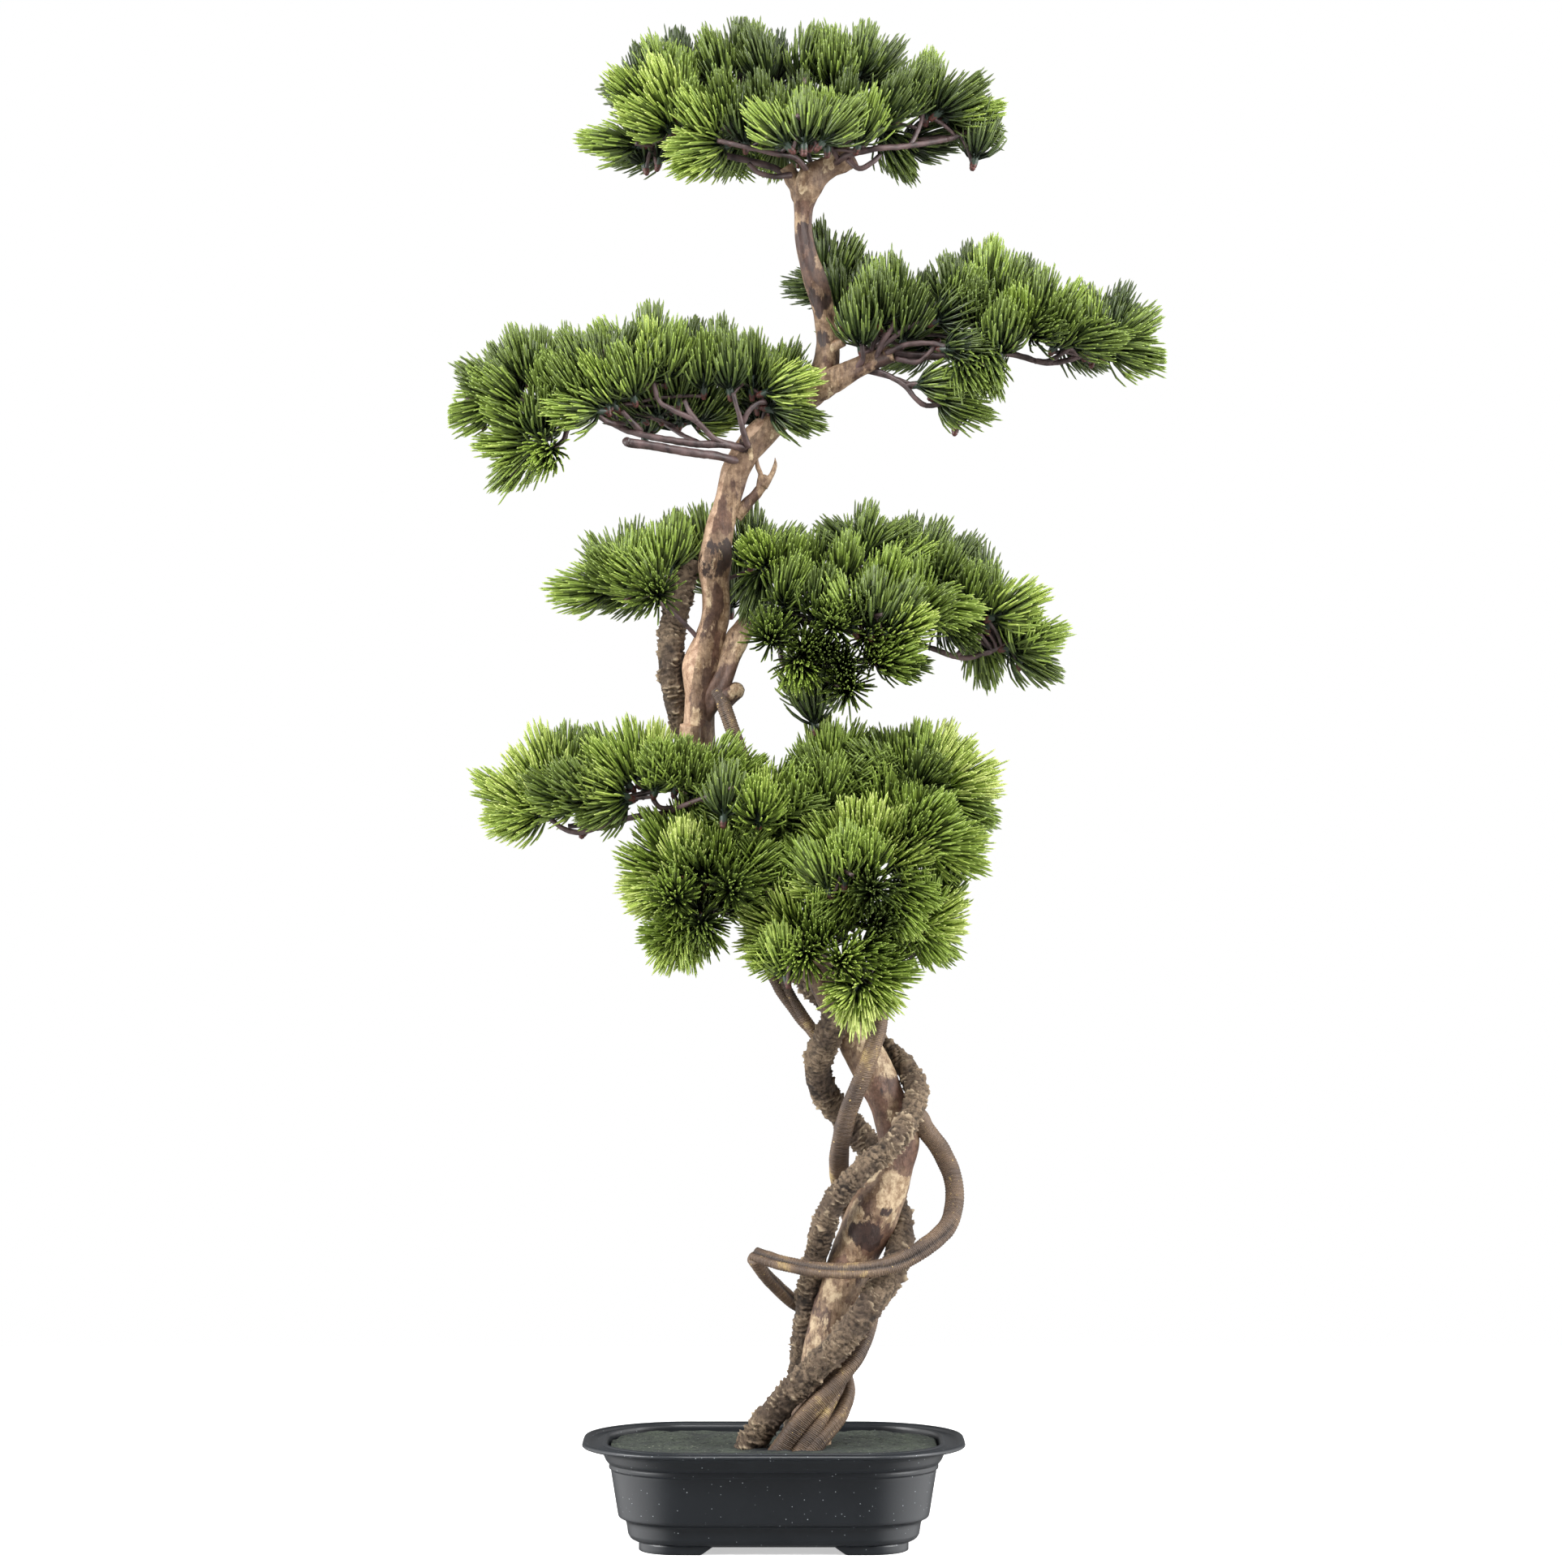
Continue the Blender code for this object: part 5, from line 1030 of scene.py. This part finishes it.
LOOSE_TWIGS = (                 # centre lines of the bent twigs that show under the needles
    ((26, -10, 1078), (16, -30, 1088), (0, -40, 1091), (-22, -42, 1096), (-44, -36, 1101)),
    ((14, -10, 1074), (0, -14, 1073), (-12, -14, 1076), (-20, -14, 1083)),
    ((58, -20, 1086), (67, -22, 1079), (76, -22, 1083), (84, -20, 1090)),
    ((34, -18, 1092), (23, -26, 1106), (18, -28, 1116), (22, -26, 1135), (25, -22, 1150)),
    ((-22, -8, 860), (-45, -24, 866), (-60, -28, 880), (-80, -28, 890), (-90, -26, 897),
     (-95, -24, 912)),
    ((-20, -10, 861), (-24, -20, 873), (-27, -25, 885), (-32, -26, 903)),
    ((-25, -20, 878), (-20, -22, 888), (-14, -20, 894), (-6, -18, 896)),
    ((-104, -16, 873), (-112, -22, 881), (-119, -24, 889)),
    ((-60, -28, 880), (-66, -28, 888), (-70, -26, 897)),
    ((-118, -10, 878), (-130, -24, 880), (-140, -28, 887)),
    ((-150, 0, 889), (-161, -4, 876), (-165, -6, 866), (-176, -8, 858)),
    ((64, -8, 921), (70, -18, 930), (69, -22, 942)),
    ((80, -12, 929), (85, -18, 942), (94, -20, 956), (94, -12, 968)),
    ((84, -16, 939), (105, -18, 954), (120, -18, 958), (131, -20, 960)),
    ((88, -14, 934), (105, -20, 941), (125, -24, 942), (136, -28, 939)),
    ((96, -12, 930), (112, -16, 927), (120, -18, 932), (127, -20, 940)),
    ((78, -10, 922), (100, -14, 911), (112, -16, 898), (120, -14, 893), (132, -12, 894)),
    ((103, -14, 908), (111, -15, 910), (117, -15, 910)),
    ((205, 5, 928), (216, 2, 928), (228, -4, 935), (236, -10, 940)),
    ((8, -14, 722), (5, -18, 708), (6, -20, 694), (12, -20, 684), (20, -18, 680)),
    ((144, 2, 697), (152, 1, 705), (160, 0, 712), (166, 0, 722)),
    ((-70, -8, 578), (-80, -14, 577), (-88, -16, 577), (-94, -16, 583), (-96, -12, 594)),
    ((-122, -12, 571), (-132, -14, 571), (-140, -14, 577), (-152, -14, 579)),
    ((-122, -12, 569), (-136, -14, 563), (-152, -14, 558), (-165, -12, 561), (-176, -10, 569),
     (-184, -8, 573)),
    ((100, -31, 466), (107, -30, 461), (113, -27, 469), (115, -22, 477)),
)
SPACE_POWER = 3.0
NEEDLE_REACH = 46 * MM
TUFT_SPACING = 23 * MM
TUFT_BACK = 26 * MM             # from the middle of a tuft back to its first needles
TUFT_FORWARD = 12 * MM          # from the first needles on to where the tuft is reckoned to be
STEM_RADIUS = 2.0
TWIG_RADIUS = 1.5
SHEATH_LENGTH = 12 * MM
EYE_HEIGHT = 596 * MM           # the eye that the tufts are set from, and the camera
EYE_DISTANCE = 3750 * MM
EYE_X = 5.7 * MM


def inside(centre, half, planes, points, margin):
    """Which points lie in a mass's rounded box, on its side of every dividing plane."""
    scaled = np.abs(points - centre) / np.maximum(half - margin, 1 * MM)
    rounded = (scaled ** SPACE_POWER).sum(axis=-1) <= 1
    return rounded & (points @ planes[:, :3].T <= planes[:, 3] - margin).all(axis=-1)


def bend(start, leaving, end, count):
    """Points on a parabola that leaves start along a direction and ends at end."""
    middle = start + leaving * np.linalg.norm(end - start) * 0.45
    t = np.linspace(0, 1, count)[:, None]
    return (1 - t) ** 2 * start + 2 * t * (1 - t) * middle + t ** 2 * end


def unit(vector):
    """A vector of length 1 along the given one."""
    return vector / np.linalg.norm(vector)


def in_depth(x, y, z):
    """A point in mm moved along its line of sight from the trunk's plane to its own depth."""
    nearer = 1 + y * MM / EYE_DISTANCE
    return np.array((EYE_X + (x * MM - EYE_X) * nearer, y * MM,
                     EYE_HEIGHT + (z * MM - EYE_HEIGHT) * nearer))


def grow_mass(row, centre, half, planes, tufts):
    """The stem of a mass, with its listed tufts and more where they leave room behind."""
    name, carrier, along, *_extents = row
    draw = random.Random(name + " tufts")
    path, _ = limbs[carrier]
    share = lengths_along(path) / lengths_along(path)[-1]
    root = np.array([np.interp(along, share, path[:, k]) for k in range(3)])
    behind = np.array([np.interp(along - 0.004, share, path[:, k]) for k in range(3)])
    axis = unit(root - behind)
    hub = centre + half * (0, 0, -0.3)
    leaving = axis if along > 0.995 else unit(unit(hub - root) + 0.4 * axis)
    stem = np.vstack((bend(root, leaving, hub, 14),
                      hub + unit(hub - root) * half.min() * 0.45 * np.array(((0.5,), (1,)))))
    inner = np.maximum(half - np.array((0.85, 0.45, 0.85)) * NEEDLE_REACH, 0.3 * half)
    picks = np.array([[draw.uniform(-1, 1) for _ in range(3)] for _ in range(900)])
    picks = picks[(np.abs(picks) ** SPACE_POWER).sum(axis=1) < 1] * inner + centre
    picks = picks[inside(centre, half, planes, picks, 4 * MM)]
    taken = [tuft[0] for tuft in tufts]
    if taken:
        picks = picks[picks[:, 1] > centre[1]]
    while len(picks):
        if taken:
            apart = np.min([np.linalg.norm((picks - c) / (1, 1, 0.8), axis=1)
                            for c in taken], axis=0)
            if apart.max() < TUFT_SPACING:
                break
            where = picks[apart.argmax()]
        else:
            where = picks[picks[:, 2].argmax()]
        taken.append(where)
        outward = unit(where - (stem[-3] - np.array((0, 0, 0.6)) * half[2]))
        outward = unit(outward + np.array((0, 0, 0.35)))
        tufts.append((where - outward * TUFT_BACK, outward, draw.uniform(0.92, 1.05),
                      draw.uniform(0.1, 0.7)))
    return stem, tufts


spaces = [np.array(row[3:6], float) * MM for row in MASSES]
middles = np.array([space.mean(axis=1) for space in spaces])
halves = np.array([(space[:, 1] - space[:, 0]) / 2 for space in spaces])
listed = {row[0]: [] for row in MASSES}
draw = random.Random("listed tufts")
for tier, rows in TUFTS.items():
    own = [i for i, row in enumerate(MASSES) if row[0].startswith(tier + "_")]
    for x, y, z, *aim, lime_and_light in rows:
        base = in_depth(x, y, z)
        axis = unit(np.array(aim, float))
        gap = (np.abs(base + axis * TUFT_FORWARD - middles[own]) / halves[own]).max(axis=1)
        listed[MASSES[own[gap.argmin()]][0]].append(
            (base, axis, draw.uniform(0.94, 1.05), lime_and_light / 10))
grown = {}
for i, row in enumerate(MASSES):
    toward = np.delete(middles, i, axis=0) - middles[i]
    distance = np.linalg.norm(toward, axis=1)
    normal = toward / distance[:, None]
    mine = np.linalg.norm(normal * halves[i], axis=1)
    theirs = np.linalg.norm(normal * np.delete(halves, i, axis=0), axis=1)
    level = normal @ middles[i] + distance * mine / (mine + theirs)
    planes = np.column_stack((normal, level))
    grown[row[0]] = grow_mass(row, middles[i], halves[i], planes, listed[row[0]])

stem_shells = []
collar_shells = []
sheath_shells = []
for route in LOOSE_TWIGS:
    path = smooth_path([in_depth(*point) / MM for point in route], 2.5 * MM)
    stem_shells.append(skin(limb_rings(path, tapered(path, 2.4, 1.9), 10, rod_relief)))
for name, (stem, tufts) in grown.items():
    path = smooth_path(stem / MM, 4 * MM)
    stem_shells.append(skin(limb_rings(path, tapered(path, STEM_RADIUS, 0.8 * STEM_RADIUS), 10,
                                       rod_relief)))
    for base, axis, size, _ in tufts:
        socket = base - axis * SHEATH_LENGTH
        start = stem[4 + np.linalg.norm(stem[4:] - socket, axis=1).argmin()]
        leaving = unit(unit(socket - start + 1e-6) + unit(stem[-3] - stem[0]) * 0.3)
        path = np.vstack((bend(start, leaving, socket, 8)[:-1], socket[None],
                          (socket + axis * 3 * MM)[None]))
        stem_shells.append(skin(limb_rings(path, tapered(path, TWIG_RADIUS, TWIG_RADIUS), 8)))
        way = socket + axis * np.linspace(-3, 4, 9)[:, None] * MM
        bulge = np.array((1.3, 1.9, 2.5, 2.3, 2.6, 3.0, 2.7, 2.9, 1.9)) * MM
        collar_shells.append(skin(limb_rings(way, bulge, 8)))
        way = socket + axis * np.linspace(0, 1, 9)[:, None] * (SHEATH_LENGTH + 9 * MM)
        bulge = np.array((2.4, 2.9, 3.1, 3.2, 3.6, 4.0, 3.9, 3.0, 1.4)) * MM
        sheath_shells.append(skin(limb_rings(way, bulge, 8,
                                             lambda p, a, s: 0.3 * MM * np.cos(4 * a + 300 * s))))

# Polyethylene, moulded smooth: red-brown collars and grey-green sheaths, both mottled darker
# in clouds of about 4 mm.
tubes = {}
for part, roughness, grain_scale, dark_code, light_code in (
        ("collar", 0.5, 220.0, "#2f1613", "#63352d"),
        ("sheath", 0.42, 260.0, "#141e17", "#3a4b3e")):
    tubes[part], tree, shader = new_finish(part + "_polyethylene", IOR=1.51,
                                           Roughness=roughness)
    spot = add(tree, "TexCoord", {}, out=3)
    cloud = add(tree, "TexNoise", {"Vector": spot, "Scale": grain_scale, "Detail": 3.0})
    tone = laid_over(tree, shade(dark_code), ((cloud, 0.0, 1.0, 0.0, 1.0, light_code),))
    wire(tree, shader, Base_Color=tone)
add_piece("twigs", merged(stem_shells), [rod], slot="bough_plastic")
add_piece("twig_collars", merged(collar_shells), [tubes["collar"]], slot="bough_plastic")
add_piece("needle_sheaths", merged(sheath_shells), [tubes["sheath"]], slot="bough_plastic")

# ---- Needles -----------------------------------------------------------------------------
# Soft polyethylene needles, moulded in whorls on a short shoot and curved like the hairs of
# a shaving brush: dark green at the root, partly their own colour and partly painted shade inside
# the tuft, and lime at the tip, some tufts duller than others.

GREENS = ("#10160c", "#1a2411", "#273417", "#38471e", "#4c5b26", "#62742e", "#7e943b",
          "#99ac4d", "#b4c16b")
NEEDLES_A_TUFT = 104
NEEDLE_LENGTH = 37 * MM
SHOOT_LENGTH = 14 * MM
NEEDLE_RADIUS = 0.98 * MM
RING_PLACES = (0.0, 0.33, 0.66, 0.94, 1.0)
GOLDEN_ANGLE = math.pi * (3 - math.sqrt(5))
TUFTS_A_PIECE = 66
# Steps of painted light that each tier's needles are made lighter by, most on the lower tiers, and
# how far they turn back, degrees.
TIER_PAINTED_LIGHT = {"crown": 0.3, "left": 0.6, "right": 0.4, "middle": 0.8, "lower": 1.4}
TIER_CURL = {"crown": 66, "left": 64, "right": 64, "middle": 54, "lower": 50}

box_low = np.array(cad_box[0]) - pot_middle
box_high = np.array(cad_box[1]) - pot_middle


def needle_skin(tufts, lift, curl, seed):
    """Every needle of a group of tufts: a curved three-sided spike with a closed root.

    A needle leaves its shoot at an opening angle, from nearly square at the lowest whorl to
    nearly straight on at the top, and turns steadily back towards the shoot's direction."""
    rng = np.random.default_rng(seed)
    base = np.array([row[0] for row in tufts])
    axis = np.array([row[1] for row in tufts])
    size = np.array([row[2] for row in tufts])
    # Each tuft's lime figure: partly its own colour, partly painted light on the outer tufts.
    lime_and_light = np.array([row[3] for row in tufts])
    owner = np.repeat(np.arange(len(tufts)), NEEDLES_A_TUFT)
    rank = np.tile((np.arange(NEEDLES_A_TUFT) + 0.5) / NEEDLES_A_TUFT, len(tufts))
    count = len(owner)
    spin = np.arange(count) * GOLDEN_ANGLE + rng.normal(0, 0.12, count)
    a = axis[owner]
    spread = rng.uniform(0.84, 1.08, len(tufts))[owner]
    opening = np.radians(spread * (80 - 72 * rank ** 0.8) + rng.normal(0, 4, count))
    turn = np.radians(spread * curl * (1 - 0.85 * rank) + rng.normal(0, 6, count))
    length = NEEDLE_LENGTH * size[owner] * (0.86 + 0.14 * rank) * rng.normal(1, 0.06, count)
    guide = np.where(np.abs(a[:, 2:]) < 0.8, (0, 0, 1), (1, 0, 0))
    e1 = np.cross(a, guide)
    e1 /= np.linalg.norm(e1, axis=1)[:, None]
    e2 = np.cross(a, e1)
    radial = e1 * np.cos(spin)[:, None] + e2 * np.sin(spin)[:, None]
    tangent = -e1 * np.sin(spin)[:, None] + e2 * np.cos(spin)[:, None]
    climb = (rank - 0.45) * SHOOT_LENGTH
    root = base[owner] + a * climb[:, None] + radial * 1.2 * MM
    places = [root]
    for start, end in zip(RING_PLACES, RING_PLACES[1:]):
        now = opening - turn * (start + end) / 2
        onward = a * np.cos(now)[:, None] + radial * np.sin(now)[:, None]
        places.append(places[-1] + onward * (length * (end - start))[:, None])
    places = np.array(places)
    reach = places[-1] - root
    room = np.where(reach > 0, box_high - MM - root, root - box_low - MM)
    fit = np.clip((room / np.maximum(np.abs(reach), 1e-9)).min(axis=1), 0.1, 1)
    places = root + (places - root) * fit[None, :, None]
    binormal = np.cross(unit_rows(np.diff(places, axis=0)), tangent)
    swing = np.arange(3) * math.tau / 3
    thick = np.array((0.8, 1.0, 1.0, 0.72)) * NEEDLE_RADIUS
    rings = (places[:-1, :, None]
             + (tangent[None, :, None] * np.cos(swing)[None, None, :, None]
                + binormal[:, :, None] * np.sin(swing)[None, None, :, None])
             * thick[:, None, None, None])
    points = np.concatenate((rings.transpose(1, 0, 2, 3).reshape(count, 12, 3),
                             places[-1][:, None]), axis=1)
    j = np.arange(3)
    k = (j + 1) % 3
    walls = np.vstack([np.stack((3 * s + j, 3 * s + k, 3 * s + 3 + k, 3 * s + 3 + j), -1)
                       for s in range(3)])
    ends = np.vstack((np.stack((9 + j, 9 + k, np.full(3, 12)), -1), ((2, 1, 0),)))
    start = (np.arange(count) * 13)[:, None, None]
    quads = (walls[None] + start).reshape(-1, 4)
    fans = (ends[None] + start).reshape(-1, 3)
    dull = rng.uniform(-0.5, 0.7, len(tufts))[owner]
    # The tier's lift is painted light, most on the lower tiers.
    level = lift + 1.9 * lime_and_light[owner] + dull + rng.normal(0, 0.22, count)
    climb = 0.64 + 0.48 * lime_and_light[owner]
    # The darkest shades at a needle's root are partly painted shade inside the tuft.
    zone = np.repeat(np.array((0.0, 2.3, 4.1)), 3)
    tip = np.array((4.9, 4.9, 4.9, 0.0))
    wall_wear = np.clip(np.round(level[:, None] + climb[:, None] * zone), 0, len(GREENS) - 1)
    end_wear = np.clip(np.round(level[:, None] + climb[:, None] * tip), 0, len(GREENS) - 1)
    wear = np.concatenate((wall_wear.ravel(), end_wear.ravel()))
    return (points.reshape(-1, 3), quads, fans), wear


def unit_rows(vectors):
    """Vectors of length 1 along the given ones."""
    return vectors / np.linalg.norm(vectors, axis=-1)[..., None]


# Soft polyethylene, one flat shade for each stretch of a needle: a low shine along its length.
greens = []
for k, code in enumerate(GREENS):
    made, tree, shader = new_finish(f"needle_polyethylene_{k}", IOR=1.51, Roughness=0.42,
                                    Specular_IOR_Level=0.5)
    shader.inputs["Base Color"].default_value = shade(code)
    greens.append(made)

tiers = {}
for name in grown:
    tiers.setdefault(name.split("_")[0], []).append(name)
for seed, (tier, names) in enumerate(tiers.items()):
    total = sum(len(grown[name][1]) for name in names)
    shares = math.ceil(total / TUFTS_A_PIECE)
    groups = [[] for _ in range(shares)]
    passed = 0
    for name in names:
        groups[min(int((passed + 0.5 * len(grown[name][1])) * shares / total), shares - 1)] += [name]
        passed += len(grown[name][1])
    for part, group in enumerate(groups):
        tufts = [tuft for name in group for tuft in grown[name][1]]
        shell, wear = needle_skin(tufts, TIER_PAINTED_LIGHT[tier], TIER_CURL[tier],
                                  100 + 10 * seed + part)
        add_piece(f"{tier}_needles_{part + 1}", shell, greens, wear=wear, replaces=group,
                  slot="needle_plastic")

# ---- Floor, lights and camera --------------------------------------------------------------
# A pale sheet of matt paper under soft studio lamps: a broad one each side, and one above
# and in front.  The paper glows a little to the eye, and reflections pass through it.

FLOOR_CORNERS = ((-4, -5, 0), (4, -5, 0), (4, 1.3, 0), (-4, 1.3, 0))
LAMPS = (                       # name, place, width of the square and watts
    ("left_box", (-2.5, -1.0, 1.7), 1.7, 120),
    ("right_box", (2.5, -0.9, 1.6), 1.7, 105),
    ("front_top_box", (0.2, -2.0, 3.0), 1.4, 85),
)
LAMP_AIM = (0, 0, 0.6)
FOCAL_LENGTH = 109.7            # mm, on a sensor 36 mm wide

floor_mesh = bpy.data.meshes.new("studio_floor")
floor_mesh.from_pydata(FLOOR_CORNERS, [], [(0, 1, 2, 3)])
floor = bpy.data.objects.new("studio_floor", floor_mesh)
bpy.context.scene.collection.objects.link(floor)
paper, tree, shader = new_finish("matt_paper", Roughness=0.9, Specular_IOR_Level=0.2)
shader.inputs["Base Color"].default_value = shade("#f4f4f3")
shader.inputs["Emission Color"].default_value = (1.0, 1.0, 1.0, 1.0)
seen = add(tree, "LightPath", {})
glow = add(tree, "Math", {0: seen, 1: 0.5}, operation="MULTIPLY")
wire(tree, shader, Emission_Strength=glow)
mirrored = add(tree, "LightPath", {}, out=3)
through = add(tree, "BsdfTransparent", {})
card = add(tree, "MixShader", {0: mirrored, 1: shader.outputs[0], 2: through})
tree.links.new(card, tree.nodes["Material Output"].inputs["Surface"])
floor_mesh.materials.append(paper)

world = bpy.data.worlds.new("studio")
bpy.context.scene.world = world
world.use_nodes = True
tree = world.node_tree
seen = add(tree, "LightPath", {})
blown = add(tree, "Background", {"Color": (1.0, 1.0, 1.0, 1.0), "Strength": 1.0})
way = add(tree, "TexCoord", {}, out=0)
front = add(tree, "VectorMath", {0: way, 1: (0.0, -1.0, 0.0)}, out=1, operation="DOT_PRODUCT")
fall = add(tree, "MapRange", {"Value": front, 1: -0.2, 2: 0.8, 3: 0.55, 4: 0.12})
compass = add(tree, "SeparateXYZ", {0: way})
flank = add(tree, "Math", {0: compass}, operation="ABSOLUTE")
boxes = add(tree, "MapRange", {"Value": flank, 1: 0.5, 2: 0.95, 3: 0.26, 4: 2.7})
mirrored = add(tree, "LightPath", {}, out=3)
fall = add(tree, "Mix", {0: mirrored, 2: fall, 3: boxes}, out=0)
gloom = add(tree, "Background", {"Color": (1.0, 1.0, 1.0, 1.0), "Strength": fall})
both = add(tree, "MixShader", {0: seen, 1: gloom, 2: blown})
tree.links.new(both, tree.nodes["World Output"].inputs["Surface"])
bpy.context.scene.view_settings.view_transform = "Standard"

for name, where, width, watts in LAMPS:
    lamp = bpy.data.lights.new(name, "AREA")
    lamp.size = width
    lamp.energy = watts
    holder = bpy.data.objects.new(name, lamp)
    bpy.context.scene.collection.objects.link(holder)
    holder.location = where
    away = unit(np.array(where) - np.array(LAMP_AIM))
    holder.rotation_euler = (math.acos(away[2]), 0, math.atan2(away[0], -away[1]))

lens = bpy.data.cameras.new("photo_camera")
lens.lens = FOCAL_LENGTH
lens.sensor_width = 36.0
lens.clip_end = 60.0
camera = bpy.data.objects.new("photo_camera", lens)
bpy.context.scene.collection.objects.link(camera)
camera.location = (pot_middle[0] + EYE_X, pot_middle[1] - EYE_DISTANCE, EYE_HEIGHT)
camera.rotation_euler = (math.pi / 2, 0, 0)
bpy.context.scene.camera = camera
